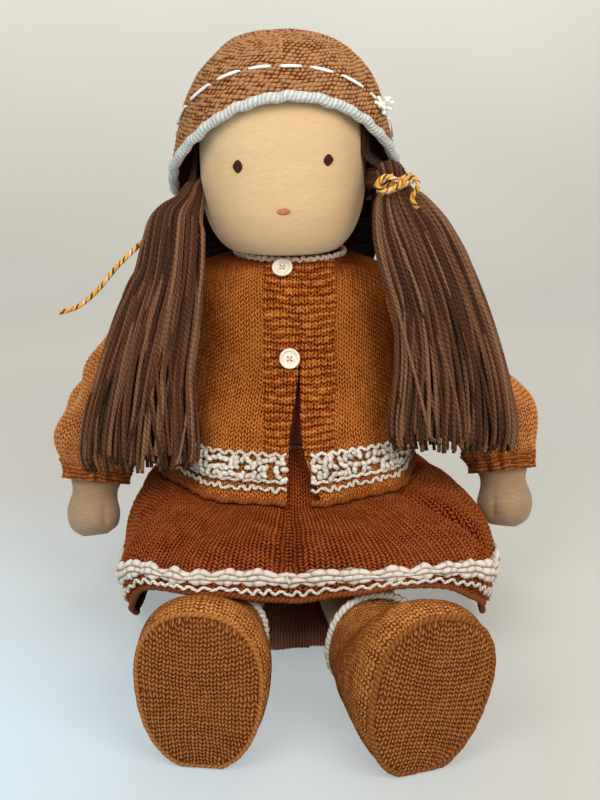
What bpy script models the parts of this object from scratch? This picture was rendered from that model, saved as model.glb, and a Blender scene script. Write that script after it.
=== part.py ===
# A seated Waldorf doll with yarn bunches, bonnet, cardigan, dress and booties.
# Metres, +Z up. The doll faces -Y and sits on the floor at Z = 0, and the
# origin is on the floor under its seat. Names with left and right are the
# sides that someone in front of the doll sees: left is -X.

import math

import bpy
import bmesh
from mathutils import Vector
from mathutils.bvhtree import BVHTree

# Clearances
gap = 0.0004
overrun = 0.03
floor_reach_share = 2.2
merge_distance = 0.00001

# Torso: a stuffed body that leans back, flat where it sits
torso_height = 0.1890
torso_half_width = 0.049
torso_half_depth = 0.032
torso_lean = 0.016
# height, width, depth and lean shares, from the seat up
torso_shares = (
    (0.0, 0.91, 1.00, 0.63),
    (0.025, 1.18, 1.27, 0.50),
    (0.10, 1.30, 1.38, 0.44),
    (0.21, 1.25, 1.31, 0.31),
    (0.34, 1.11, 1.16, 0.19),
    (0.46, 1.05, 1.10, 0.25),
    (0.57, 1.02, 1.09, 0.38),
    (0.73, 0.98, 1.03, 0.63),
    (0.86, 1.00, 0.97, 0.75),
    (0.935, 0.95, 0.90, 0.85),
    (0.985, 0.78, 0.76, 0.94),
    (1.0, 0.52, 0.62, 1.00),
)

# Clothes over the torso
bodice_thickness = 0.0015
bodice_foot_share = 0.50
bodice_top_share = 0.985
cardigan_thickness = 0.003
hem_height = 0.074
neck_rise = 0.0060
neck_height = torso_height + neck_rise
cardigan_half_width = 0.062
cardigan_half_depth = 0.039
# height, width, depth and lean shares, from the hem up
cardigan_shares = (
    (0.0, 1.17, 1.615, -0.44),
    (0.09, 1.13, 1.49, -0.25),
    (0.17, 1.13, 1.39, -0.08),
    (0.25, 1.11, 1.28, 0.09),
    (0.38, 1.08, 1.14, 0.35),
    (0.56, 1.04, 1.06, 0.60),
    (0.75, 1.00, 1.01, 0.75),
    (0.885, 0.94, 0.95, 0.86),
    (0.96, 0.76, 0.82, 0.94),
    (1.0, 0.52, 0.72, 1.00),
)
lace_steps = (1, 2)
lace_thickness = 0.0014
side_seam_y = 0.006
band_thickness = 0.0042
band_left_edge = -0.0142
band_meeting = 0.0057
band_right_edge = 0.0253
parting_top = 0.146
parting_width = 0.0100
# height share down from the top of the parting, and the shares of its left and right edges
parting_shares = (
    (0.0, 0.0, 0.0),
    (0.26, -0.20, 0.02),
    (0.56, -0.60, 0.05),
    (0.76, -0.66, 0.38),
    (0.90, -0.68, 0.90),
    (1.0, -0.68, 1.10),
)
neck_edging_radius = 0.0017

# Buttons
button_radius = 0.0056
button_thickness = 0.0028
button_rim_share = 0.82
button_upper_column = -0.0038
button_lower_column = 0.0000
button_upper_drop = 0.0035
button_upper_height = neck_height - button_upper_drop
button_lower_height = 0.1455

# Skirt: hangs from the bodice over both thighs down to the floor
skirt_thickness = 0.002
skirt_waist_height = 0.0965
skirt_out_height = 0.072
skirt_half_width = 0.101
skirt_front_reach = 0.136
skirt_back_reach = 0.082
skirt_rise = 0.060
fold_depth = 0.0016
fold_count = 13
# width, reach and rise shares of the hem's points, from the front round by +X
hem_shares = (
    (0.00, -0.93, 0.78),
    (0.30, -1.00, 0.91),
    (0.58, -1.00, 1.00),
    (0.84, -0.90, 0.84),
    (1.00, -0.72, 0.50),
    (1.06, -0.50, 0.16),
    (1.05, -0.24, 0.05),
    (0.98, 0.00, 0.03),
    (0.88, 0.37, 0.03),
    (0.70, 0.68, 0.03),
    (0.48, 0.88, 0.03),
    (0.24, 0.98, 0.03),
    (0.00, 1.00, 0.03),
    (-0.24, 0.98, 0.03),
    (-0.45, 0.88, 0.03),
    (-0.64, 0.68, 0.03),
    (-0.76, 0.37, 0.03),
    (-0.83, 0.00, 0.03),
    (-0.84, -0.24, 0.04),
    (-0.84, -0.48, 0.14),
    (-0.82, -0.71, 0.44),
    (-0.72, -0.91, 0.86),
    (-0.52, -1.00, 0.95),
    (-0.27, -1.00, 0.89),
)
hem_least_share = 0.025
skirt_steps = 9
skirt_free_steps = 2
skirt_bend_share = 0.0
skirt_puff_share = 1.20
fold_end_share = 0.8
skirt_band_steps = (6, 7)
slope_share = 0.05
skirt_band_thickness = 0.0018

# Head, a firm ball that is squarer than round
head_half_width = 0.0485
head_half_depth = 0.050
head_half_height = 0.0585
head_x = -0.003
head_y = 0.018
head_rise = 0.0670
head_z = torso_height + head_rise
crown_power = 2.1
chin_power = 3.8
chin_forward = 0.007
neck_radius = 0.019
neck_y = 0.0155
neck_top_share = 0.955
head_level_shares = (-0.995, -0.93, -0.82, -0.66, -0.45, -0.2, 0.05, 0.3, 0.52, 0.72, 0.87, 0.96, 0.997)

# Face stitches, as places on the face measured from the head's middle
stitch_thickness = 0.0009
eye_half_height = 0.0035
eye_half_width = 0.00265
eye_left_place = (-0.0238, -0.0070)
eye_right_place = (0.0236, -0.0037)
mouth_half_width = 0.0037
mouth_half_height = 0.0019
mouth_place = (0.0003, -0.0297)

# Hair cap
hair_thickness = 0.0038
hairline_y = -0.001
hairline_slant = math.radians(10)
cap_foot_drop = 0.042
cap_foot_z = head_z - cap_foot_drop

# Hat: a loose knitted bonnet with a slanting rim
hat_thickness = 0.0026
hat_ease = 0.0010
hat_radius = 0.0635
hat_middle_x = -0.003
hat_middle_y = 0.0190
hat_low_drop = 0.066
hat_low_z = head_z - hat_low_drop
hat_crown_drop = 0.013
hat_crown_z = head_z - hat_crown_drop
# height share from the widest part to the crown, and radius share
hat_profile_shares = (
    (1.0, 0.0),
    (0.976, 0.33),
    (0.881, 0.54),
    (0.71, 0.735),
    (0.4955, 0.86),
    (0.3916, 0.90),
    (0.18, 0.965),
    (0.03, 1.0),
)
hat_steps = 32
edging_steps = 48
# the rim seen from the side, with heights measured from the head's middle
rim_front = (-0.050, 0.056)
rim_bend = (0.000, -0.022)
rim_back = (0.098, -0.052)
rim_points = 14
rim_search_share = 0.6
rim_drop_share = 1.45
edging_radius = 0.0028
ribbon_rise = 0.0125
ribbon_width = 0.0055
ribbon_thickness = 0.0009
ribbon_knot_radius = 0.0032
ribbon_knot_turn = math.radians(62)

# Hair bunches: middle line, half width and half thickness at each place, with
# heights here and in the ties and arms measured from the top of the torso
bunch_sides = 12
bunch_left_path = (
    ((-0.0450, 0.0150, 0.0450), 0.0060, 0.0060),
    ((-0.0520, -0.0040, 0.0430), 0.0064, 0.0064),
    ((-0.0535, -0.0180, 0.0370), 0.0070, 0.0070),
    ((-0.0560, -0.0225, 0.0260), 0.0080, 0.0080),
    ((-0.0585, -0.0260, 0.0160), 0.0080, 0.0080),
    ((-0.0645, -0.0330, -0.0010), 0.0185, 0.0105),
    ((-0.0700, -0.0390, -0.0210), 0.0225, 0.0115),
    ((-0.0760, -0.0440, -0.0460), 0.0255, 0.0120),
    ((-0.0800, -0.0500, -0.0730), 0.0305, 0.0120),
    ((-0.0815, -0.0540, -0.0920), 0.0320, 0.0105),
    ((-0.0815, -0.0560, -0.1020), 0.0270, 0.0070),
)
bunch_right_path = (
    ((0.0440, 0.0060, 0.0510), 0.0058, 0.0058),
    ((0.0520, -0.0080, 0.0560), 0.0062, 0.0062),
    ((0.0525, -0.0180, 0.0600), 0.0065, 0.0065),
    ((0.0540, -0.0245, 0.0555), 0.0075, 0.0075),
    ((0.0580, -0.0265, 0.0460), 0.0075, 0.0075),
    ((0.0655, -0.0300, 0.0290), 0.0160, 0.0100),
    ((0.0730, -0.0330, 0.0120), 0.0195, 0.0110),
    ((0.0810, -0.0360, -0.0090), 0.0210, 0.0115),
    ((0.0870, -0.0400, -0.0330), 0.0250, 0.0120),
    ((0.0905, -0.0450, -0.0550), 0.0290, 0.0120),
    ((0.0915, -0.0500, -0.0780), 0.0320, 0.0110),
    ((0.0915, -0.0530, -0.0920), 0.0290, 0.0070),
)
bunch_tie_steps = (3, 4)

# Hair ties of twisted cord
cord_radius = 0.0013
wrap_turns = 2.25
wrap_pitch = 0.0034
wrap_steps = 14
wrap_left_start_share = 0.5
wrap_right_start_share = 0.0
wrap_ease_share = 1.08
tail_route = (
    (-0.0700, -0.0155, 0.0230),
    (-0.0755, -0.0190, 0.0215),
    (-0.0795, -0.0240, 0.0190),
    (-0.0835, -0.0290, 0.0155),
    (-0.0875, -0.0315, 0.0120),
    (-0.0920, -0.0320, 0.0075),
    (-0.0960, -0.0325, 0.0030),
    (-0.1005, -0.0330, -0.0025),
    (-0.1060, -0.0335, -0.0080),
    (-0.1115, -0.0340, -0.0125),
    (-0.1175, -0.0345, -0.0155),
    (-0.1240, -0.0350, -0.0170),
)
# The bow's points from its knot, in shares of the loop's length
bow_knot = (0.0575, -0.0392, 0.0515)
bow_length = 0.011
bow_shares = (
    (0.05, 0.10, 0.10),
    (-0.25, 0.00, 0.32),
    (-0.65, -0.05, 0.42),
    (-1.00, -0.08, 0.20),
    (-1.05, -0.12, -0.12),
    (-0.75, -0.16, -0.34),
    (-0.30, -0.20, -0.22),
    (0.05, -0.24, -0.02),
    (0.40, -0.22, 0.30),
    (0.80, -0.18, 0.38),
    (1.05, -0.12, 0.10),
    (1.00, -0.06, -0.30),
    (0.80, 0.00, -0.62),
    (0.85, 0.04, -0.95),
    (1.10, 0.08, -1.25),
)

# Arms: place of each ring's middle, and the arm's radius there
sleeve_thickness = 0.002
sleeve_ease = 0.0006
limb_sides = 12
ball_shares = (0.96, 0.75, 0.40)
armhole_shares = (0.78, 0.50, 0.25)
seat_shares = (0.98, 0.88, 0.72, 0.50, 0.25)
seat_sides = 20
sleeve_room_count = 2
arm_left_path = (
    ((-0.0600, 0.0120, -0.0155), 0.0181),
    ((-0.0800, 0.0050, -0.0390), 0.0183),
    ((-0.0985, -0.0040, -0.0690), 0.0188),
    ((-0.1085, -0.0120, -0.0940), 0.0192),
    ((-0.1105, -0.0180, -0.1110), 0.0175),
    ((-0.1115, -0.0215, -0.1200), 0.0142),
    ((-0.1120, -0.0240, -0.1265), 0.0128),
    ((-0.1125, -0.0280, -0.1360), 0.0150),
    ((-0.1120, -0.0310, -0.1445), 0.0132),
    ((-0.1115, -0.0325, -0.1490), 0.0070),
)
arm_right_path = (
    ((0.0610, 0.0120, -0.0155), 0.0181),
    ((0.0830, 0.0060, -0.0390), 0.0183),
    ((0.1060, -0.0010, -0.0670), 0.0188),
    ((0.1180, -0.0080, -0.0900), 0.0190),
    ((0.1215, -0.0140, -0.1070), 0.0172),
    ((0.1225, -0.0170, -0.1150), 0.0142),
    ((0.1230, -0.0190, -0.1215), 0.0130),
    ((0.1240, -0.0215, -0.1320), 0.0158),
    ((0.1235, -0.0240, -0.1410), 0.0138),
    ((0.1230, -0.0255, -0.1460), 0.0075),
)
cuff_count = 5

# Legs: hip place, foot place under the sole, and radii
hip_z = 0.027
hip_y = -0.030
hip_radius = 0.0235
hip_seat_shares = (0.98, 0.9, 0.78, 0.62, 0.42, 0.2)
hip_reach_share = 1.35
hip_rise_share = 1.10
leg_left_hip_x = -0.031
leg_right_hip_x = 0.031
leg_left_foot = (-0.0395, -0.2020)
leg_right_foot = (0.0560, -0.2070)
foot_height = 0.079
foot_egg_share = 0.10
foot_half_width = 0.0285
foot_left_roll = 0.0
foot_right_roll = math.radians(13)
foot_left_yaw = math.radians(-7)
foot_right_yaw = math.radians(20)
knee_radius = 0.0195
ankle_radius = 0.0165
ankle_z = 0.0235
heel_radius = 0.0145
foot_depth = 0.0140
foot_width = 0.0185
foot_rise = 0.0290
foot_middle_height = 0.0400
bootie_depth = 0.070
bootie_thickness = 0.0035
sole_thickness = 0.003
bootie_trim_radius = 0.0020
flat_depth = 0.0005
# how far along from hip to heel, and the leg's tip in shares of the heel's radius
leg_place_shares = (0.22, 0.45, 0.80, 0.95)
heel_tip_shares = (0.8, 0.6, 0.5)
# depth share from the sole back, width, height, drop towards the ankle, and egg shares
bootie_ring_shares = (
    (0.0, 0.95, 0.97, 0.0, 1.0),
    (0.07, 1.02, 1.0, 0.0, 1.0),
    (0.21, 1.04, 1.0, 0.0, 1.0),
    (0.375, 0.98, 0.89, 0.12, 0.7),
    (0.566, 0.87, 0.71, 0.45, 0.3),
    (0.755, 0.80, 0.60, 0.85, 0.1),
    (1.0, 0.78, 0.585, 1.0, 0.0),
)
# depth and width shares of the sole's rings, the outside first
sole_ring_shares = ((0.0, 0.93), (0.4, 0.985), (1.0, 0.97))


def lifted(places):
    """A table's places with their heights taken from the floor."""
    return tuple(((x, y, torso_height + z), *sizes) for (x, y, z), *sizes in places)


bunch_left_path = lifted(bunch_left_path)
bunch_right_path = lifted(bunch_right_path)
arm_left_path = lifted(arm_left_path)
arm_right_path = lifted(arm_right_path)

collection = bpy.data.collections.new("waldorf_doll")
cutters = bpy.data.collections.new("cutters")


def clear_scene():
    """Start from an empty scene."""
    for thing in list(bpy.data.objects):
        bpy.data.objects.remove(thing)
    bpy.context.scene.collection.children.link(collection)
    bpy.context.scene.collection.children.link(cutters)


def make_material(name, colour, roughness):
    """A plain Principled material for one kind of yarn or cloth."""
    made = bpy.data.materials.new(name)
    made.use_nodes = True
    shader = made.node_tree.nodes["Principled BSDF"]
    shader.inputs["Base Color"].default_value = (*colour, 1)
    shader.inputs["Roughness"].default_value = roughness
    return made


def add_object(name, mesh, material, home=collection):
    """Put a mesh into a collection as a named object."""
    thing = bpy.data.objects.new(name, mesh)
    home.objects.link(thing)
    if material:
        mesh.materials.append(material)
    return thing


def hide_cutter(thing):
    """Mark an object as a tool that is left out of the model."""
    thing.hide_render = True
    thing.display_type = "WIRE"


def loft(name, rings, material, looped=False, home=collection, smooth=True):
    """Skin a row of rings with equal point counts.

    The end rings are capped, or with looped the last ring joins the first. Its
    quads are bent, so they are split before any Boolean cuts them."""
    shape = bmesh.new()
    rows = [[shape.verts.new(point) for point in ring] for ring in rings]
    count = len(rings[0])
    pairs = list(zip(rows, rows[1:]))
    if looped:
        pairs.append((rows[-1], rows[0]))
    for low, high in pairs:
        for i in range(count):
            j = (i + 1) % count
            shape.faces.new((low[i], low[j], high[j], high[i]))
    if not looped:
        shape.faces.new(rows[0])
        shape.faces.new(rows[-1])
    bmesh.ops.recalc_face_normals(shape, faces=shape.faces)
    bmesh.ops.triangulate(shape, faces=shape.faces)
    mesh = bpy.data.meshes.new(name)
    shape.to_mesh(mesh)
    shape.free()
    if smooth:
        mesh.shade_smooth()
    return add_object(name, mesh, material, home)


def ring_points(middle, across, up, sides, power=2.0, turn=0.0):
    """Points of a superellipse round a middle, power 2 for an ellipse."""
    points = []
    for step in range(sides):
        angle = turn + math.tau * step / sides
        c, s = math.cos(angle), math.sin(angle)
        cx = math.copysign(abs(c) ** (2 / power), c)
        sy = math.copysign(abs(s) ** (2 / power), s)
        points.append(Vector(middle) + Vector(across) * cx + Vector(up) * sy)
    return points


def cut(thing, tool, operation="DIFFERENCE"):
    """Boolean modifier with one tool."""
    modifier = thing.modifiers.new("cut", "BOOLEAN")
    modifier.operation = operation
    modifier.solver = "EXACT"
    modifier.object = tool
    return modifier


def box_cutter(name, low, high):
    """A box between two corners."""
    shape = bmesh.new()
    bmesh.ops.create_cube(shape, size=1)
    middle = (Vector(low) + Vector(high)) / 2
    size = Vector(high) - Vector(low)
    bmesh.ops.scale(shape, vec=size, verts=shape.verts)
    bmesh.ops.translate(shape, vec=middle, verts=shape.verts)
    mesh = bpy.data.meshes.new(name)
    shape.to_mesh(mesh)
    shape.free()
    tool = add_object(name, mesh, None, cutters)
    hide_cutter(tool)
    return tool


def prism_cutter(name, outline, half_length, axis="X"):
    """An outline in the YZ or XZ plane, run along X or Y."""
    rings = []
    for side in (-half_length, half_length):
        if axis == "X":
            rings.append([Vector((side, a, b)) for a, b in outline])
        else:
            rings.append([Vector((a, side, b)) for a, b in outline])
    tool = loft(name, rings, None, home=cutters, smooth=False)
    hide_cutter(tool)
    return tool


def tube(name, points, radius, material, closed=False, resolution=2):
    """A round cord or edging along points."""
    curve = bpy.data.curves.new(name, "CURVE")
    curve.dimensions = "3D"
    curve.bevel_depth = radius
    curve.bevel_resolution = resolution
    curve.use_fill_caps = not closed
    line = curve.splines.new("POLY")
    line.points.add(len(points) - 1)
    for place, point in zip(line.points, points):
        place.co = (*point, 1)
    line.use_cyclic_u = closed
    curve.materials.append(material)
    thing = bpy.data.objects.new(name, curve)
    collection.objects.link(thing)
    return thing


def hang_on(things, name, place):
    """Parent pieces to an empty that stands on their joint's axis."""
    pivot = bpy.data.objects.new(name, None)
    pivot.location = place
    collection.objects.link(pivot)
    bpy.context.view_layer.update()
    for thing in things:
        thing.parent = pivot
        thing.matrix_parent_inverse = pivot.matrix_world.inverted()


def face_hit(thing, start, direction):
    """Where a ray meets an object, with the surface's normal there."""
    graph = bpy.context.evaluated_depsgraph_get()
    tree = BVHTree.FromObject(thing, graph)
    place, normal, _, _ = tree.ray_cast(Vector(start), Vector(direction))
    return place, normal


# Torso and clothes


def between(rows, share):
    """Read a table of shares at a height share."""
    for low, high in zip(rows, rows[1:]):
        if low[0] <= share <= high[0]:
            part = (share - low[0]) / (high[0] - low[0])
            return [a + (b - a) * part for a, b in zip(low, high)]
    return list(rows[-1] if share > rows[-1][0] else rows[0])


def torso_ring(share, offset, sides=28):
    """One level section of the torso, grown by an offset."""
    _, width, depth, lean = between(torso_shares, share)
    middle = (0, torso_lean * lean, torso_height * share)
    across = (torso_half_width * width + offset, 0, 0)
    up = (0, torso_half_depth * depth + offset, 0)
    return ring_points(middle, across, up, sides)


def cardigan_ring(row, offset, sides=28):
    """One level section of the cardigan's outside, grown by an offset."""
    share, width, depth, lean = row
    middle = (0, torso_lean * lean, hem_height + (neck_height - hem_height) * share)
    across = (cardigan_half_width * width + offset, 0, 0)
    up = (0, cardigan_half_depth * depth + offset, 0)
    return ring_points(middle, across, up, sides)


def cardigan_shell(name, rows, inner, outer, material):
    """A closed band of cardigan between two offsets from its outside."""
    outside = [cardigan_ring(row, outer) for row in rows]
    inside = [cardigan_ring(row, inner) for row in reversed(rows)]
    return loft(name, outside + inside, material, looped=True)


def make_torso(jersey, shoulder_tools, hip_tools):
    """The stuffed torso, with round seats for the arms and legs."""
    rings = [torso_ring(row[0], 0) for row in torso_shares]
    torso = loft("torso", rings, jersey)
    for tool in shoulder_tools + hip_tools:
        cut(torso, tool)


def make_bodice(wool, shoulder_tools):
    """The top of the dress, a thin knit over the torso."""
    shares = [row[0] for row in torso_shares if bodice_foot_share < row[0] < bodice_top_share]
    shares = [bodice_foot_share] + shares + [bodice_top_share]
    outside = [torso_ring(share, gap + bodice_thickness) for share in shares]
    inside = [torso_ring(share, gap) for share in reversed(shares)]
    bodice = loft("dress_bodice", outside + inside, wool, looped=True)
    for tool in shoulder_tools:
        cut(bodice, tool)


def parting_cutter():
    """The opening where the fronts part below the lower button."""
    fall = parting_top - hem_height
    right = [(band_meeting + parting_width * b, parting_top - fall * down) for down, _, b in parting_shares]
    left = [(band_meeting + parting_width * a, parting_top - fall * down) for down, a, _ in parting_shares]
    below = hem_height - overrun
    outline = right + [(right[-1][0], below), (left[-1][0], below)] + left[:0:-1]
    reach = cardigan_half_depth * 4
    return prism_cutter("parting_cutter", outline, reach, axis="Y")


def make_cardigan(wool, white, shoulder_tools):
    """Back, two fronts, button bands, neck edging and lace trims."""
    far = cardigan_half_width * 2
    low = hem_height - overrun
    high = neck_height + overrun
    front = -far
    seam = side_seam_y
    first, last = lace_steps
    foot = hem_height + (neck_height - hem_height) * cardigan_shares[last][0] + gap
    regions = {
        "cardigan_back": ((-far, seam + gap, low), (far, far, high)),
        "cardigan_front_left": ((-far, front, low), (band_meeting, seam, high)),
        "cardigan_front_right": ((band_meeting + gap, front, low), (far, seam, high)),
        "button_band_left": ((band_left_edge, front, foot + gap), (band_meeting, seam, high)),
        "button_band_right": ((band_meeting + gap, front, foot + gap), (band_right_edge, seam, high)),
    }
    bands_room = box_cutter("bands_room", (band_left_edge - gap, front, foot), (band_right_edge + gap, seam, high))
    parting = parting_cutter()
    tools = {}
    for name, (near, distant) in regions.items():
        tools[name] = box_cutter(name + "_region", near, distant)
        band = name.startswith("button")
        outer = band_thickness - cardigan_thickness if band else 0.0
        panel = cardigan_shell(name, cardigan_shares, -cardigan_thickness, outer, wool)
        cut(panel, tools[name], "INTERSECT")
        if not band:
            for tool in shoulder_tools:
                cut(panel, tool)
        if not band and "front" in name:
            cut(panel, bands_room)
        if band or "front" in name:
            cut(panel, parting)
    lace = cardigan_shares[first:last + 1]
    for name, region in (("lace_left", "cardigan_front_left"),
                         ("lace_right", "cardigan_front_right"),
                         ("lace_back", "cardigan_back")):
        trim = cardigan_shell(name, lace, gap, gap + lace_thickness, white)
        cut(trim, tools[region], "INTERSECT")
        if "front" in region:
            cut(trim, parting)
    top = cardigan_shares[-1]
    edge = cardigan_ring(top, -cardigan_thickness / 2)
    rise = Vector((0, 0, neck_edging_radius + gap))
    tube("neck_edging", [point + rise for point in edge], neck_edging_radius, white, closed=True, resolution=1)


def make_button(name, column, height, shade):
    """A turned button that lies on the button band."""
    rim = button_radius * button_rim_share
    half = button_thickness / 2
    dish = half / 3
    profile = (
        (0, half - dish),
        (rim * button_rim_share, half - dish),
        (rim, half),
        (button_radius, half / 3),
        (button_radius, -half / 3),
        (rim, -half),
        (0, -half),
    )
    mesh = bpy.data.meshes.new(name)
    edges = [(i, i + 1) for i in range(len(profile) - 1)]
    mesh.from_pydata([(x, 0, z) for x, z in profile], edges, [])
    button = add_object(name, mesh, shade)
    turned = button.modifiers.new("turned", "SCREW")
    turned.steps = 24
    turned.render_steps = 24
    turned.use_merge_vertices = True
    turned.merge_threshold = merge_distance
    start = (column, -cardigan_half_depth * 4, height)
    band = bpy.data.objects["button_band_left"]
    place, normal = face_hit(band, start, (0, 1, 0))
    lift = half + gap + button_radius * button_radius / (cardigan_half_depth * 2)
    button.location = place + normal * lift
    button.rotation_mode = "QUATERNION"
    button.rotation_quaternion = normal.to_track_quat("Z", "Y")


# Skirt


def hem_point(share):
    """The hem at a share of the way round, from the front by +X."""
    count = len(hem_shares)
    place = (share % 1) * count
    i = int(place) % count
    part = place - int(place)
    before, here, after, beyond = (hem_shares[(i + k) % count] for k in (-1, 0, 1, 2))
    point = []
    for a, b, c, d in zip(before, here, after, beyond):
        curve = b + 0.5 * part * (c - a + part * (2 * a - 5 * b + 4 * c - d + part * (3 * (b - c) + d - a)))
        point.append(curve)
    reach = skirt_front_reach if point[1] < 0 else skirt_back_reach
    return Vector((skirt_half_width * point[0], reach * point[1], skirt_rise * max(point[2], hem_least_share)))


def skirt_place(step, share):
    """A place on the skirt's outside, by its step from the waist and its share of the way round."""
    angle = math.tau * share
    c, s = -math.cos(angle), math.sin(angle)
    _, width, depth, lean = between(torso_shares, skirt_waist_height / torso_height)
    grown = bodice_thickness + skirt_thickness + gap * 2
    top = Vector(((torso_half_width * width + grown) * s,
                  torso_lean * lean + (torso_half_depth * depth + grown) * c,
                  skirt_waist_height))
    _, width, depth, lean = cardigan_shares[0]
    inset = cardigan_thickness + gap * 2
    out = Vector(((cardigan_half_width * width - inset) * s,
                  torso_lean * lean + (cardigan_half_depth * depth - inset) * c,
                  skirt_out_height))
    if step < skirt_free_steps:
        return top.lerp(out, step / skirt_free_steps)
    part = (step - skirt_free_steps) / (skirt_steps - 1 - skirt_free_steps)
    foot = hem_point(share)
    bend = Vector((foot.x * skirt_puff_share, foot.y, out.z + (foot.z - out.z) * skirt_bend_share))
    place = out * (1 - part) ** 2 + bend * 2 * part * (1 - part) + foot * part ** 2
    outward = Vector((foot.x, foot.y, 0)).normalized()
    wave = fold_depth * math.cos(angle * fold_count) * math.sin(math.pi * part * fold_end_share)
    return place + outward * wave


def skirt_ring(step, offset, sides=44):
    """One ring of the skirt between waist and hem, grown by an offset square to the cloth."""
    points = []
    last = skirt_steps - 1
    for side in range(sides):
        share = side / sides
        down = skirt_place(min(step + slope_share, last), share) - skirt_place(max(step - slope_share, 0), share)
        side_step = slope_share / sides
        round_it = skirt_place(step, share + side_step) - skirt_place(step, share - side_step)
        normal = down.cross(round_it).normalized()
        points.append(skirt_place(step, share) + normal * offset)
    return points


def make_skirt(wool, white):
    """The skirt and the raised white band near its hem."""
    steps = list(range(skirt_steps))
    outside = [skirt_ring(step, 0) for step in steps]
    inside = [skirt_ring(step, -skirt_thickness) for step in reversed(steps)]
    loft("skirt", outside + inside, wool, looped=True)
    low = gap * 2.4
    high = low + skirt_band_thickness
    outside = [skirt_ring(step, high) for step in skirt_band_steps]
    inside = [skirt_ring(step, low) for step in reversed(skirt_band_steps)]
    loft("skirt_band", outside + inside, white, looped=True)


# Head and hat


def head_ring(height_share, offset, sides=24):
    """One section of the head at a height share from -1 to 1."""
    power = crown_power if height_share > 0 else chin_power
    spread = (1 - abs(height_share) ** power) ** (1 / power)
    forward = chin_forward * min(0, height_share)
    middle = (head_x, head_y + forward, head_z + (head_half_height + offset) * height_share)
    across = ((head_half_width + offset) * spread, 0, 0)
    up = (0, (head_half_depth + offset) * spread, 0)
    return ring_points(middle, across, up, sides, 2.3)


def make_head(jersey):
    """The head with its short neck, which stands on the torso."""
    neck_foot = torso_height + gap
    neck_top = head_z - head_half_height * neck_top_share
    neck = []
    for height in (neck_foot, neck_top):
        across = (neck_radius, 0, 0)
        neck.append(ring_points((0, neck_y, height), across, (0, neck_radius, 0), 24))
    rings = neck + [head_ring(level, 0) for level in head_level_shares[1:]]
    return loft("head", rings, jersey)


def make_hair_cap(yarn):
    """Yarn over the skull, open at the face and the neck."""
    cap = loft("hair_cap", [head_ring(level, hair_thickness) for level in head_level_shares], yarn)
    rings = [head_ring(level, gap) for level in head_level_shares]
    skull = loft("skull_cutter", rings, None, home=cutters)
    hide_cutter(skull)
    far = head_half_width * 3
    tilt = math.tan(hairline_slant)
    outline = (
        (hairline_y + (head_z - cap_foot_z) * tilt, cap_foot_z),
        (head_y + far, cap_foot_z),
        (head_y + far, head_z + far),
        (hairline_y - far * tilt, head_z + far),
    )
    keep = prism_cutter("hairline_cutter", outline, far)
    cut(cap, skull)
    cut(cap, keep, "INTERSECT")
    return cap


def add_stitch(name, place, half_width, half_height, material, head):
    """A flat pad of satin stitch on the face."""
    start = (head_x + place[0], head_y - head_half_depth * 3, head_z + place[1])
    spot, normal = face_hit(head, start, (0, 1, 0))
    shape = bmesh.new()
    bmesh.ops.create_uvsphere(shape, u_segments=12, v_segments=6, radius=1)
    half = stitch_thickness / 2
    size = Vector((half_width, half_height, half))
    bmesh.ops.scale(shape, vec=size, verts=shape.verts)
    mesh = bpy.data.meshes.new(name)
    shape.to_mesh(mesh)
    shape.free()
    pad = add_object(name, mesh, material)
    pad.location = spot + normal * (half + gap)
    pad.rotation_mode = "QUATERNION"
    pad.rotation_quaternion = normal.to_track_quat("Z", "Y")
    return pad


def hat_top():
    """Height of the crown's outside, seated on the hair."""
    return head_z + head_half_height + hair_thickness + hat_ease + hat_thickness


def hat_share(height):
    """The hat's radius share at a height."""
    part = (height - hat_crown_z) / (hat_top() - hat_crown_z)
    rows = sorted(hat_profile_shares)
    if part <= rows[0][0]:
        return rows[0][1]
    return between(rows, min(part, 1))[1]


def rim_line(share):
    """The rim seen from the side, a curve from the brow to the nape."""
    a, b, c = (1 - share) ** 2, 2 * share * (1 - share), share ** 2
    y = rim_front[0] * a + rim_bend[0] * b + rim_back[0] * c
    z = head_z + rim_front[1] * a + rim_bend[1] * b + rim_back[1] * c
    return Vector((y, z))


def rim_point(angle, offset, rise):
    """A place on the hat's surface round the rim, raised above its edge."""
    share = 0.5
    radius = hat_radius + offset
    for _ in range(30):
        spot = rim_line(share)
        height = spot.y + rise
        y = hat_middle_y - radius * hat_share(height) * math.cos(angle)
        share += rim_search_share * (y - spot.x) / (rim_back[0] - rim_front[0])
        share = min(max(share, 0), 1)
    size = radius * hat_share(height)
    return Vector((hat_middle_x + size * math.sin(angle), y, height))


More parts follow.
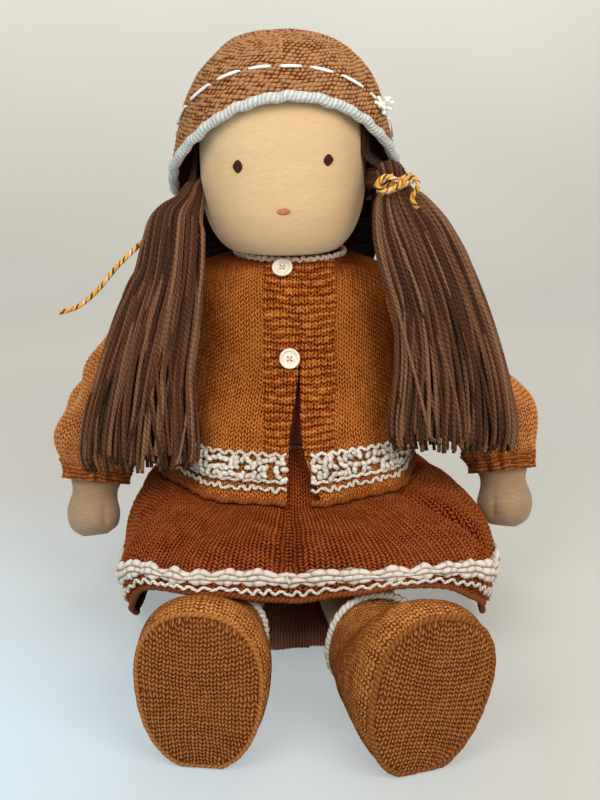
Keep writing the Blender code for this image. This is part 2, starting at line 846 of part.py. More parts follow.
def make_hat(wool, white, ribbon_white):
    """The bonnet, its crochet rim, and the ribbon round it."""
    top = hat_top()
    rise = top - hat_crown_z
    outer = [(hat_radius * r, hat_crown_z + rise * h) for h, r in hat_profile_shares]
    outer.append((hat_radius, hat_low_z))
    shrink = (hat_radius - hat_thickness) / hat_radius
    inner_rise = rise - hat_thickness
    inner = [(hat_radius * shrink * r, hat_crown_z + inner_rise * h) for h, r in hat_profile_shares]
    inner.append((hat_radius * shrink, hat_low_z))
    profile = outer + inner[::-1]
    mesh = bpy.data.meshes.new("hat")
    edges = [(i, i + 1) for i in range(len(profile) - 1)]
    mesh.from_pydata([(x, 0, z) for x, z in profile], edges, [])
    hat = add_object("hat", mesh, wool)
    turned = hat.modifiers.new("turned", "SCREW")
    turned.steps = hat_steps
    turned.render_steps = hat_steps
    turned.use_merge_vertices = True
    turned.merge_threshold = merge_distance
    hat.location = (hat_middle_x, hat_middle_y, 0)
    line = [rim_line(i / rim_points) for i in range(rim_points + 1)]
    line = [(spot.x, spot.y) for spot in line]
    below = hat_low_z - overrun
    outline = line + [(rim_back[0], below), (rim_front[0], below)]
    cut(hat, prism_cutter("rim_cutter", outline, hat_radius * 2))
    middle = -hat_thickness / 2
    drop = -(edging_radius + gap) * rim_drop_share
    points = []
    for step in range(edging_steps):
        angle = math.tau * step / edging_steps
        points.append(rim_point(angle, middle, drop))
    edging = tube("hat_edging", points, edging_radius, white, closed=True, resolution=1)
    rings = []
    for step in range(edging_steps):
        angle = math.tau * step / edging_steps
        inner_side = gap * 2
        outer_side = inner_side + ribbon_thickness
        rings.append([
            rim_point(angle, inner_side, ribbon_rise),
            rim_point(angle, outer_side, ribbon_rise),
            rim_point(angle, outer_side, ribbon_rise + ribbon_width),
            rim_point(angle, inner_side, ribbon_rise + ribbon_width),
        ])
    ribbon = loft("hat_ribbon", rings, ribbon_white, looped=True, smooth=False)
    spot = rim_point(ribbon_knot_turn, gap * 3 + ribbon_thickness + ribbon_knot_radius,
                     ribbon_rise + ribbon_width / 2)
    shape = bmesh.new()
    bmesh.ops.create_uvsphere(shape, u_segments=12, v_segments=6, radius=ribbon_knot_radius)
    mesh = bpy.data.meshes.new("hat_ribbon_knot")
    shape.to_mesh(mesh)
    shape.free()
    knot = add_object("hat_ribbon_knot", mesh, ribbon_white)
    knot.location = spot
    return [hat, edging, ribbon, knot]


# Hair bunches and ties


def path_frame(path, i):
    """Direction of a path of places at one of them."""
    low = Vector(path[max(i - 1, 0)][0])
    high = Vector(path[min(i + 1, len(path) - 1)][0])
    return (high - low).normalized()


def make_bunch(name, path, yarn, cap_room):
    """A bunch of yarn that leaves the hair cap and fans out below its tie."""
    rings = []
    for i, (place, half_width, half_thickness) in enumerate(path):
        along = path_frame(path, i)
        forward = along.cross(Vector((1, 0, 0))).normalized()
        across = forward.cross(along).normalized()
        rings.append(ring_points(place, across * half_width, forward * half_thickness, bunch_sides))
    bunch = loft(name, rings, yarn)
    cut(bunch, cap_room)
    return bunch


def wrap_points(path, start_share):
    """Two and a bit turns round a bunch's tied place."""
    low, high = (path[i] for i in bunch_tie_steps)
    start, end = Vector(low[0]), Vector(high[0])
    along = (end - start).normalized()
    side = along.cross(Vector((1, 0, 0))).normalized()
    over = along.cross(side)
    radius = low[1] + gap + cord_radius * wrap_ease_share
    middle = (start + end) / 2 - along * (wrap_pitch * wrap_turns / 2)
    points = []
    total = int(wrap_turns * wrap_steps)
    for step in range(total + 1):
        turn = math.tau * (start_share + step / wrap_steps)
        out = side * math.cos(turn) + over * math.sin(turn)
        points.append(middle + out * radius + along * (wrap_pitch * step / wrap_steps))
    return points


def smooth_route(route, parts=2):
    """A smooth curve through hand-picked places."""
    places = [Vector(place) for place in route]
    points = []
    for i in range(len(places) - 1):
        a = places[max(i - 1, 0)]
        b, c = places[i], places[i + 1]
        d = places[min(i + 2, len(places) - 1)]
        for k in range(parts):
            t = k / parts
            points.append(b + (c - a) * (0.5 * t) + (2 * a - 5 * b + 4 * c - d) * (0.5 * t * t)
                          + (3 * (b - c) + d - a) * (0.5 * t * t * t))
    points.append(places[-1])
    return points


def make_ties(cord):
    """Wraps on both bunches, the free tail on the left and the bow on the right."""
    turns = wrap_points(bunch_left_path, wrap_left_start_share)
    left = tube("hair_tie_left", turns, cord_radius, cord)
    leave = turns[0] + (turns[0] - turns[1]).normalized() * (cord_radius * 2)
    route = [leave] + [Vector((x, y, torso_height + z)) for x, y, z in tail_route]
    tail = tube("hair_tie_left_tail", [turns[0]] + smooth_route(route), cord_radius, cord)
    turns = wrap_points(bunch_right_path, wrap_right_start_share)
    right = tube("hair_tie_right", turns, cord_radius, cord)
    least = min((a - b).length for i, a in enumerate(turns) for b in turns[i + wrap_steps // 2:])
    print("least gap between a hair tie's turns, mm:", round((least - 2 * cord_radius) * 1000, 2))
    knot = Vector(bow_knot) + Vector((0, 0, torso_height))
    route = [knot + Vector(share) * bow_length for share in bow_shares]
    bow = tube("hair_tie_right_bow", smooth_route(route), cord_radius, cord)
    return [left, right, tail, bow]


# Arms and sleeves


def limb_rings(path, offset, first, last, sides=limb_sides):
    """Round sections square to a limb's path."""
    rings = []
    for i in range(first, last + 1):
        place, radius = path[i]
        along = path_frame(path, i)
        across = Vector((0, 1, 0)).cross(along).normalized()
        up = along.cross(across).normalized()
        size = radius + offset
        rings.append(ring_points(place, across * size, up * size, sides))
    return rings


def shoulder_rings(path, radius, shares, sides=limb_sides):
    """Sections of the ball at the shoulder, on the side away from the hand."""
    place = Vector(path[0][0])
    along = path_frame(path, 0)
    across = Vector((0, 1, 0)).cross(along).normalized()
    up = along.cross(across).normalized()
    rings = []
    for share in shares:
        size = radius * math.sqrt(1 - share * share)
        rings.append(ring_points(place - along * (radius * share), across * size, up * size, sides))
    return rings


def shoulder_tools(side, path):
    """Room in the torso and its clothes for a shoulder and its sleeve."""
    grown = sleeve_ease + sleeve_thickness + gap * 2
    rings = shoulder_rings(path, path[0][1] + grown, seat_shares, seat_sides)
    rings += limb_rings(path, grown, 0, sleeve_room_count, seat_sides)
    sleeve = loft("sleeve_cutter_" + side, rings, None, home=cutters)
    hide_cutter(sleeve)
    return [sleeve]


def make_arm(side, path, jersey, wool):
    """One arm with its hand, and the sleeve over it."""
    skin_radius = path[0][1]
    ball = shoulder_rings(path, skin_radius, ball_shares)
    arm = loft("arm_" + side, ball + limb_rings(path, 0, 0, len(path) - 1), jersey)
    inner = sleeve_ease
    outer = sleeve_ease + sleeve_thickness
    last = cuff_count
    outside = shoulder_rings(path, skin_radius + outer, armhole_shares) + limb_rings(path, outer, 0, last)
    inside = shoulder_rings(path, skin_radius + inner, armhole_shares) + limb_rings(path, inner, 0, last)
    sleeve = loft("sleeve_" + side, outside + inside[::-1], wool, looped=True)
    return [arm, sleeve]


# Legs and booties


def foot_frame(roll, yaw):
    """Directions of an upright sole: along its height, across it, and back towards the ankle."""
    back = Vector((-math.sin(yaw), math.cos(yaw), 0))
    level = Vector((math.cos(yaw), math.sin(yaw), 0))
    lean = level * math.sin(roll) + Vector((0, 0, math.cos(roll)))
    flat = level * math.cos(roll) - Vector((0, 0, math.sin(roll)))
    return lean, flat, back


def leg_path(hip_x, foot, yaw):
    """Middle line of a leg from the hip to the heel, with radii."""
    hip = Vector((hip_x, hip_y, hip_z))
    _, _, back = foot_frame(0, yaw)
    depth = sole_thickness + bootie_thickness + heel_radius
    heel = Vector((foot[0], foot[1], ankle_z)) + back * depth
    near, knee, shin, ankle = leg_place_shares
    wide, reach, small = heel_tip_shares
    return (
        (tuple(hip), hip_radius),
        (tuple(hip.lerp(heel, near)), (hip_radius + knee_radius) / 2),
        (tuple(hip.lerp(heel, knee)), knee_radius),
        (tuple(hip.lerp(heel, shin)), ankle_radius),
        (tuple(hip.lerp(heel, ankle)), ankle_radius * ankle),
        (tuple(heel), heel_radius * wide),
        (tuple(heel - back * (heel_radius * reach)), heel_radius * small),
    )


def foot_form(name, foot, roll, yaw, offset):
    """The foot alone, an upright egg, grown by an offset."""
    lean, flat, back = foot_frame(roll, yaw)
    shape = bmesh.new()
    bmesh.ops.create_uvsphere(shape, u_segments=14, v_segments=8, radius=1)
    middle = Vector((*foot, 0)) + back * (sole_thickness + bootie_thickness + foot_depth)
    middle += lean * foot_middle_height
    for corner in shape.verts:
        place = flat * (corner.co.x * (foot_width + offset))
        place += back * (corner.co.y * (foot_depth + offset))
        corner.co = middle + place + lean * (corner.co.z * (foot_rise + offset))
    mesh = bpy.data.meshes.new(name)
    shape.to_mesh(mesh)
    shape.free()
    tool = add_object(name, mesh, None, cutters)
    hide_cutter(tool)
    return tool


def leg_rings(path, offset):
    """Sections of a leg, square to its path."""
    rings = []
    for i, (place, radius) in enumerate(path):
        along = path_frame(path, i)
        across = Vector((1, 0, 0))
        across = (across - along * across.dot(along)).normalized()
        up = across.cross(along).normalized()
        size = radius + offset
        rings.append(ring_points(place, across * size, up * size, limb_sides))
    return rings


def sole_ring(middle, flat, lean, egg):
    """The sole's outline, narrower at the heel by the egg's share."""
    points = []
    for point in ring_points((0, 0, 0), (1, 0, 0), (0, 0, 1), 20, 2.3):
        wide = point.x * (1 + foot_egg_share * egg * point.z)
        points.append(middle + flat * (foot_half_width * wide) + lean * (foot_height / 2 * point.z))
    return points


def make_leg(side, hip_x, foot, roll, yaw, jersey, wool, white):
    """One leg, its bootie, sole and ankle edge."""
    path = leg_path(hip_x, foot, yaw)
    start = Vector(path[0][0])
    along = path_frame(path, 0)
    across = (Vector((1, 0, 0)) - along * along.x).normalized()
    up = across.cross(along).normalized()
    ball = []
    for share in ball_shares:
        size = hip_radius * math.sqrt(1 - share * share)
        ball.append(ring_points(start - along * (hip_radius * share), across * size, up * size, limb_sides))
    leg = loft("leg_" + side, ball + leg_rings(path, 0), jersey)
    cut(leg, foot_form("foot_form_" + side, foot, roll, yaw, 0), "UNION")
    leg_room = loft("leg_cutter_" + side, leg_rings(path, gap * 2), None, home=cutters)
    hide_cutter(leg_room)
    foot_room = foot_form("foot_cutter_" + side, foot, roll, yaw, gap * 2)
    lean, flat, back = foot_frame(roll, yaw)
    middle = Vector((*foot, 0)) + lean * (foot_height / 2 - flat_depth)
    heel = Vector(path[-2][0])
    homeward = (start - heel).normalized()
    heel_depth = sole_thickness + bootie_thickness + heel_radius
    first = sole_thickness + gap
    rings = []
    for depth, width, height, drop, egg in bootie_ring_shares:
        distance = first + (bootie_depth - first) * depth
        place = (middle + back * distance).lerp(heel + homeward * (distance - heel_depth), drop)
        rings.append(sole_ring(place, flat * width, lean * height, egg))
    upper = loft("bootie_" + side, rings, wool)
    reach = skirt_front_reach * floor_reach_share
    floor = box_cutter("floor_cutter_" + side, (-reach, -reach, -overrun), (reach, reach, 0))
    cut(upper, leg_room)
    cut(upper, foot_room)
    cut(upper, floor)
    sole_rings = []
    for depth, width in sole_ring_shares:
        sole_rings.append(sole_ring(middle + back * (sole_thickness * depth), flat * width, lean * width, 1.0))
    sole = loft("bootie_sole_" + side, sole_rings, wool)
    cut(sole, floor)
    shift = homeward * (bootie_trim_radius + gap)
    points = [point + shift + Vector((0, 0, bootie_trim_radius)) for point in rings[-1]]
    trim = tube("bootie_trim_" + side, points, bootie_trim_radius, white, closed=True, resolution=1)
    return leg, [upper, sole, trim]


def hip_tool(side, hip_x):
    """Room for the hip's ball and for the leg when it swings down."""
    place = Vector((hip_x, hip_y, hip_z))
    radius = hip_radius + gap * 2
    sections = []
    for share in hip_seat_shares:
        sections.append((radius * share * hip_rise_share, radius * math.sqrt(1 - share * share)))
    sections.append((0, radius))
    sections.append((-hip_z - overrun, radius * hip_rise_share))
    rings = []
    for height, size in sections:
        ring = ring_points((0, 0, height), (size, 0, 0), (0, size, 0), seat_sides)
        for point in ring:
            if point.y < 0:
                point.y *= hip_reach_share
        rings.append([place + point for point in ring])
    tool = loft("hip_cutter_" + side, rings, None, home=cutters)
    hide_cutter(tool)
    return tool


def main():
    """Make every piece and hang the moving ones on their pivots."""
    clear_scene()
    jersey = make_material("cream_jersey", (0.78, 0.52, 0.36), 0.8)
    brown = make_material("orange_brown_wool", (0.29, 0.078, 0.026), 0.9)
    white = make_material("white_wool", (0.78, 0.70, 0.66), 0.9)
    ribbon_white = make_material("white_ribbon", (0.82, 0.79, 0.77), 0.6)
    yarn = make_material("dark_brown_yarn", (0.045, 0.014, 0.008), 0.7)
    cord = make_material("twisted_cord", (0.65, 0.33, 0.05), 0.7)
    brown_thread = make_material("brown_thread", (0.03, 0.012, 0.008), 0.6)
    red_thread = make_material("red_thread", (0.60, 0.13, 0.08), 0.6)
    cream_plastic = make_material("cream_button_plastic", (0.75, 0.62, 0.50), 0.35)

    shoulders = shoulder_tools("left", arm_left_path) + shoulder_tools("right", arm_right_path)
    hips = [hip_tool("left", leg_left_hip_x), hip_tool("right", leg_right_hip_x)]
    make_torso(jersey, shoulders, hips)
    make_bodice(brown, shoulders)
    make_cardigan(brown, white, shoulders)
    make_skirt(brown, white)
    make_button("button_upper", button_upper_column, button_upper_height, cream_plastic)
    make_button("button_lower", button_lower_column, button_lower_height, cream_plastic)

    head = make_head(jersey)
    eyes = [
        add_stitch("eye_left", eye_left_place, eye_half_width, eye_half_height, brown_thread, head),
        add_stitch("eye_right", eye_right_place, eye_half_width, eye_half_height, brown_thread, head),
        add_stitch("mouth", mouth_place, mouth_half_width, mouth_half_height, red_thread, head),
    ]
    cap = make_hair_cap(yarn)
    rings = [head_ring(level, hair_thickness + gap) for level in head_level_shares]
    cap_room = loft("cap_cutter", rings, None, home=cutters)
    hide_cutter(cap_room)
    bunches = [
        make_bunch("hair_bunch_left", bunch_left_path, yarn, cap_room),
        make_bunch("hair_bunch_right", bunch_right_path, yarn, cap_room),
    ]
    ties = make_ties(cord)
    hat = make_hat(brown, white, ribbon_white)
    hang_on([head, cap] + eyes + bunches + ties, "neck_pivot", (0, neck_y, torso_height))
    hang_on(hat, "hat_slide", (hat_middle_x, hat_middle_y, hat_crown_z))

    for side, path in (("left", arm_left_path), ("right", arm_right_path)):
        hang_on(make_arm(side, path, jersey, brown), "shoulder_" + side, path[0][0])
    for side, hip_x, foot, roll, yaw in (
        ("left", leg_left_hip_x, leg_left_foot, foot_left_roll, foot_left_yaw),
        ("right", leg_right_hip_x, leg_right_foot, foot_right_roll, foot_right_yaw),
    ):
        leg, bootie = make_leg(side, hip_x, foot, roll, yaw, jersey, brown, white)
        hang_on([leg], "hip_" + side, (hip_x, hip_y, hip_z))
        hang_on(bootie, "foot_" + side, (*foot, hip_z))


main()
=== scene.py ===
# %% [markdown]
# # A seated Waldorf doll in knitted clothes
# The CAD model gives every place and size. Each soft piece is built again here
# at full detail: the knitting is real relief, stitch by stitch, the hair is
# separate yarns, and the trims are twisted cords laid on the cloth.
# Metres, +Z up, the doll faces -Y. Left is -X, the viewer's left.

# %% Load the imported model
import math

import bpy
import numpy as np
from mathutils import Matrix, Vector
from mathutils.bvhtree import BVHTree


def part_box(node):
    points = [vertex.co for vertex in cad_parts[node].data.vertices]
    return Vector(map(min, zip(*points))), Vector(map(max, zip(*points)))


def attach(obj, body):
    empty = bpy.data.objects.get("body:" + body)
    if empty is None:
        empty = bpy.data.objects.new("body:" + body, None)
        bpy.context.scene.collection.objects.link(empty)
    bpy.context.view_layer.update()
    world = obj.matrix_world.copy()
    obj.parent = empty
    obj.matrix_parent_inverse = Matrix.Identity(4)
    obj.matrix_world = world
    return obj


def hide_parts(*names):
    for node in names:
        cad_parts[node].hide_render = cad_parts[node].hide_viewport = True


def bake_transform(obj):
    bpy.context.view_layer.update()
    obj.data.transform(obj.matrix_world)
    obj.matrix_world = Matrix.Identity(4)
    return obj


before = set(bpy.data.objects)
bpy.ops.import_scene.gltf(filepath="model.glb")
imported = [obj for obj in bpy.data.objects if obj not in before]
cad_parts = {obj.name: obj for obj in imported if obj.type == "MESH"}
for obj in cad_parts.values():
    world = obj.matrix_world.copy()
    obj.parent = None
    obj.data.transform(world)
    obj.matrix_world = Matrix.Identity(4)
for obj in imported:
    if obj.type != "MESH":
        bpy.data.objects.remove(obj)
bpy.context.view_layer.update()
scene = bpy.context.scene
rng = np.random.default_rng(11)

# %% [markdown]
# ## Camera
# It stands where the photograph's perspective says: 0.72 m away, a little above
# the hat, looking down 18 degrees.

# %% Camera
lens = bpy.data.cameras.new("camera")
lens.lens = 55.8
lens.sensor_width = 36.0
lens.sensor_fit = "AUTO"
camera = bpy.data.objects.new("camera", lens)
camera.location = (0.0058, -0.685, 0.334)
aim = Vector((0.0058, 0.0, 0.111)) - camera.location
camera.rotation_euler = aim.to_track_quat("-Z", "Y").to_euler()
scene.collection.objects.link(camera)
scene.camera = camera
print("camera looks", [round(a, 3) for a in aim], "from", round(aim.length, 3), "m")

# %% [markdown]
# ## Small tools for shapes
# A curve runs smoothly through given places, a grid is a sheet of quads
# over rows and columns, and tubes are many yarns merged into one mesh.


# %% Curves and tables
def unit(vectors):
    """Vectors at length one."""
    return vectors / np.maximum(np.linalg.norm(vectors, axis=-1, keepdims=True), 1e-12)


def curve(places, count=None, step=None):
    """A smooth curve through places, evenly spaced. Columns after the third go along."""
    p = np.array(places, float)
    t = np.linspace(0, len(p) - 1, (len(p) - 1) * 16 + 1)
    i = np.minimum(t.astype(int), len(p) - 2)
    f = (t - i)[:, None]
    a, b, c, d = p[np.maximum(i - 1, 0)], p[i], p[i + 1], p[np.minimum(i + 2, len(p) - 1)]
    q = b + 0.5 * f * ((c - a) + f * ((2 * a - 5 * b + 4 * c - d) + f * (3 * (b - c) + d - a)))
    s = np.r_[0, np.cumsum(np.linalg.norm(np.diff(q[:, :3], axis=0), axis=1))]
    at = np.linspace(0, s[-1], count or max(int(s[-1] / step), 3) + 1)
    return np.stack([np.interp(at, s, q[:, k]) for k in range(q.shape[1])], 1)


def read_table(rows, places):
    """Read a table smoothly by its first column."""
    rows = np.array(rows, float)
    x, y = rows[:, 0], rows[:, 1:]
    slope = np.gradient(y, x, axis=0)
    places = np.clip(np.asarray(places, float), x[0], x[-1])
    i = np.clip(np.searchsorted(x, places, side="right") - 1, 0, len(x) - 2)
    h = (x[i + 1] - x[i])[..., None]
    t = (places - x[i])[..., None] / h
    value = y[i] * (1 + 2 * t) * (1 - t) ** 2 + y[i + 1] * t * t * (3 - 2 * t)
    value = value + h * (slope[i] * t * (1 - t) ** 2 - slope[i + 1] * t * t * (1 - t))
    return np.moveaxis(value, -1, 0)


def lengths(points, axis):
    """Distance along a grid's rows or columns."""
    step = np.linalg.norm(np.diff(points, axis=axis), axis=-1)
    return np.insert(np.cumsum(step, axis=axis), 0, 0, axis=axis)


# %% Meshes
def corners(values, ring=False):
    """A grid's values at the four corners of each quad."""
    if ring:
        values = np.concatenate([values, values[:, :1]], axis=1)
    quads = [values[:-1, :-1], values[:-1, 1:], values[1:, 1:], values[1:, :-1]]
    return np.stack(quads, 2).reshape(-1, 4, *values.shape[2:])


def build(name, verts, faces, material, fields=None, uv=None):
    """One mesh object from arrays. Fields are numbers at each point that the material reads."""
    mesh = bpy.data.meshes.new(name)
    mesh.vertices.add(len(verts))
    mesh.vertices.foreach_set("co", np.asarray(verts, np.float32).ravel())
    mesh.loops.add(faces.size)
    mesh.loops.foreach_set("vertex_index", faces.astype(np.int32).ravel())
    mesh.polygons.add(len(faces))
    mesh.polygons.foreach_set("loop_start", np.arange(0, faces.size, 4, dtype=np.int32))
    mesh.polygons.foreach_set("use_smooth", np.ones(len(faces), bool))
    mesh.update(calc_edges=True)
    for key, values in (fields or {}).items():
        data = mesh.attributes.new(key, "FLOAT", "POINT").data
        data.foreach_set("value", np.asarray(values, np.float32).ravel())
    if uv is not None:
        mesh.uv_layers.new(name="UVMap").data.foreach_set("uv", uv.astype(np.float32).ravel())
    mesh.materials.append(material)
    made = bpy.data.objects.new(name, mesh)
    scene.collection.objects.link(made)
    return made


def grid(name, points, material, ring=False, fields=None, drop=None):
    """A sheet over rows and columns of points. Drop leaves out the quads inside a mask."""
    rows, cols = points.shape[:2]
    faces = corners(np.arange(rows * cols).reshape(rows, cols), ring)
    if drop is not None:
        faces = faces[~corners(drop, ring).all(axis=1)]
    return build(name, points.reshape(-1, 3), faces, material, fields)


def normals_of(points, ring=False):
    """Directions square to a grid."""
    if ring:
        across = np.roll(points, -1, 1) - np.roll(points, 1, 1)
    else:
        across = np.gradient(points, axis=1)
    return unit(np.cross(across, np.gradient(points, axis=0)))


def frames(path):
    """Two directions square to a path, carried along it without twist."""
    along = unit(np.gradient(path, axis=0))
    side = np.zeros_like(along)
    side[0] = np.eye(3)[np.argmin(np.abs(along[0]))]
    for i in range(len(path)):
        side[i] = unit(side[max(i - 1, 0)] if i else side[0])
        side[i] = unit(side[i] - along[i] * side[i].dot(along[i]))
    return side, np.cross(along, side)


def tubes(name, paths, radius, material, sides=6, twist=None):
    """Many yarns in one mesh. Twist is plies, pitch and depth of a rope's relief.

    A path's fourth column is a share of the radius. The texture runs round the yarn
    and along it in millimetres, and each yarn has a tone of its own."""
    verts, faces, uv, tones, start = [], [], [], [], 0
    for path in paths:
        path = np.asarray(path, float)
        share = path[:, 3] if path.shape[1] > 3 else np.ones(len(path))
        middle = path[[0, *range(len(path)), -1], :3]
        share = np.r_[share[0] * 0.02, share, share[-1] * 0.02]
        side, over = frames(path[:, :3])
        side, over = side[[0, *range(len(path)), -1]], over[[0, *range(len(path)), -1]]
        run = lengths(path[:, :3], 0)[[0, *range(len(path)), -1]]
        turn = np.arange(sides) / sides
        size = radius * share[:, None] * np.ones(sides)
        if twist:
            plies, pitch, depth = twist
            phase = math.tau * (plies * turn + run[:, None] / pitch)
            size = size * (1 + depth * np.cos(phase))
        c, s = (f(math.tau * turn)[None, :, None] for f in (np.cos, np.sin))
        rings = middle[:, None] + size[..., None] * (side[:, None] * c + over[:, None] * s)
        verts.append(rings.reshape(-1, 3))
        index = start + np.arange(len(middle) * sides).reshape(-1, sides)
        faces.append(corners(index, True))
        round_it = np.arange(sides + 1) / sides * np.ones((len(middle), 1))
        uv.append(corners(np.stack([round_it, run[:, None] * 1000 * np.ones(sides + 1)], -1)))
        tones.append(np.full(len(middle) * sides, rng.uniform(-1, 1)))
        start += len(middle) * sides
    fields = {"tone": np.concatenate(tones)}
    return build(name, np.concatenate(verts), np.concatenate(faces), material, fields, np.concatenate(uv))


# %% [markdown]
# ## Stitches
# Knitting could be a bump in the material, but its outline would stay smooth and
# an exported model would lose it. Here a sheet's own points are raised. Each
# kind of stitch is a height from 0 to 1 over columns u and rows v, and a tone
# that changes from stitch to stitch, as hand-dyed wool does.


# %% Stitch relief
def scatter(a, b):
    """A steady random number from -1 to 1 for each stitch."""
    mixed = np.sin(np.floor(a) * 12.9898 + np.floor(b) * 78.233) * 43758.5453
    return 2 * (mixed - np.floor(mixed)) - 1


def wander(u, v, size, seed):
    """A slow, smooth drift, because hand-made rows are never straight."""
    one, two = np.sin(u * 0.61 + v * 0.23 + seed), np.sin(v * 0.47 - u * 0.19 + 2.3 * seed)
    return size * (one + two + np.sin(u * 1.31 + v * 0.97 + 4.1 * seed)) / 3


def knit(u, v, slope=1.15):
    """Stockinette: columns of V stitches, each leg rising away from the column's middle."""
    u, v = u + wander(u, v, 0.14, 1), v + wander(u, v, 0.34, 2)
    a = np.abs(u % 1 - 0.5) * 2
    leg = v - slope * a
    height = np.sin(math.pi * a) ** 0.9 * (0.06 + 0.94 * (0.5 - 0.5 * np.cos(math.tau * leg)))
    return height, scatter(u + a * 0.02, leg)


def flat_knit(u, v):
    """Stockinette stretched sideways: the legs lie almost level."""
    return knit(u + wander(u, v, 0.30, 5), v + wander(u, v, 0.45, 6), 0.62)


def crochet(u, v):
    """Single crochet: slanting bumps with small holes, each row set half a stitch along."""
    u, v = u + wander(u, v, 0.40, 3), v + wander(u, v, 0.34, 4)
    row = np.floor(v)
    across = u + 0.5 * row + 0.35 * (v - row)
    height = np.sin(math.pi * (v - row)) ** 0.6 * (0.16 + 0.84 * np.sin(math.pi * (across % 1)) ** 0.7)
    return height, scatter(across, v)


def garter(u, v):
    """Garter stitch: short level dashes on the ridges, with small stitches between them."""
    fine, _ = knit(u * 1.3, v * 2, 0.8)
    u, v = u + wander(u, v, 1.3, 7), v + wander(u, v, 0.40, 8)
    row = np.floor(v)
    across = u + 0.5 * row
    dash = np.sin(math.pi * (v - row)) ** 2 * np.sin(math.pi * (across % 1)) ** 0.5
    return 0.56 * fine + 0.34 * dash - 0.08, scatter(across, v)


def ribbed(u, v):
    """Rows of white purl bumps, side by side."""
    u, v = u + wander(u, v, 0.5, 9), v + wander(u, v, 0.25, 10)
    row = np.floor(v)
    across = u + 0.5 * row
    height = np.sin(math.pi * (v - row)) ** 0.7 * (0.30 + 0.70 * np.sin(math.pi * (across % 1)) ** 0.7)
    return height, scatter(across, v)


def cloth(name, points, stitch, u, v, depth, material, ring=False, flip=False, drop=None, shape=0.0):
    """A knitted sheet: the stitches stand out of the surface by their depth."""
    height, tone = stitch(u, v)
    normal = normals_of(points, ring) * (-1 if flip else 1)
    rise = depth * height * (0.86 + 0.14 * tone) + shape
    fields = {"stitch": height, "tone": tone}
    return grid(name, points + normal * rise[..., None], material, ring, fields, drop)


def put(piece, body, node=None):
    """Let a piece ride on a body and stand for a solid of the model."""
    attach(piece, body)
    if node:
        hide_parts(node)
    return piece


# %% [markdown]
# ## Colours and nodes
# All materials here are node trees. One function adds a node with its settings
# and links, so that a recipe reads from top to bottom like a list. Colours are
# sRGB hex, as a colour picker shows them, and are turned to linear light once.


# %% Colour and nodes
def srgb(text):
    """A hex colour in linear light, with alpha."""
    parts = [int(text[i:i + 2], 16) / 255 for i in (1, 3, 5)]
    return (*[p / 12.92 if p <= 0.04045 else ((p + 0.055) / 1.055) ** 2.4 for p in parts], 1.0)


def add(tree, kind, inputs=(), output=0, **settings):
    """Add a node, set or link its inputs, and give one of its outputs."""
    node = tree.nodes.new(kind)
    for key, value in settings.items():
        setattr(node, key, value)
    for key, value in inputs.items() if isinstance(inputs, dict) else enumerate(inputs):
        if hasattr(value, "is_output"):
            tree.links.new(value, node.inputs[key])
        else:
            node.inputs[key].default_value = value
    return node.outputs[output]


def formula(tree, known, steps):
    """Chain maths nodes: each step is a result's name, an operation and what it works on."""
    for result, operation, *parts in steps:
        values = [known.get(part, part) if isinstance(part, str) else part for part in parts]
        known[result] = add(tree, "ShaderNodeMath", values, operation=operation)
    return known


def new_material(name):
    """An empty node material."""
    made = bpy.data.materials.new(name)
    made.use_nodes = True
    made.node_tree.nodes.clear()
    return made, made.node_tree


def close_material(tree, colour, height=None, depth=0.0002, **shader):
    """The shader with its bump, and the material's output."""
    inputs = {"Base Color": colour, **shader}
    if height is not None:
        bump = {"Strength": 1.0, "Distance": depth, "Height": height}
        inputs["Normal"] = add(tree, "ShaderNodeBump", bump)
    surface = add(tree, "ShaderNodeBsdfPrincipled", inputs)
    tree.links.new(surface, tree.nodes.new("ShaderNodeOutputMaterial").inputs[0])


def three_colours(tree, factor, dark, middle, light):
    """Dark at 0, middle at one half, light at 1."""
    known = formula(tree, {"f": factor}, [
        ("low", "MULTIPLY", "f", 2.0), ("high", "SUBTRACT", "low", 1.0)])
    first = {0: known["low"], 6: srgb(dark), 7: srgb(middle)}
    first = add(tree, "ShaderNodeMix", first, 2, data_type="RGBA")
    last = {0: known["high"], 6: first, 7: srgb(light)}
    return add(tree, "ShaderNodeMix", last, 2, data_type="RGBA")


# %% [markdown]
# ## Wool and twisted yarn
# The clothes are hand-dyed sheep's wool: matt, mottled, with fibres that catch
# the light at the edges. A picture of knitting would do for one view only. Here
# the colour follows each stitch's own height, with painted shade in the gaps and
# painted light on the stitches' backs, the same from every side, and noise of two
# sizes adds the fibres and the patches of dye. Trims, hair and seams are twisted
# yarns, with a groove that winds round each, in relief and in painted shade.

# %% Wool and yarn recipes
wool_fibre = 1500.0  # per metre: tufts of 0.7 mm, as real fibres of 0.03 mm are too fine to show
wool_cloud = 70.0  # patches of dye, 14 mm across
yarn_fibre = 2200.0  # tufts of 0.45 mm, drawn coarse for the same reason


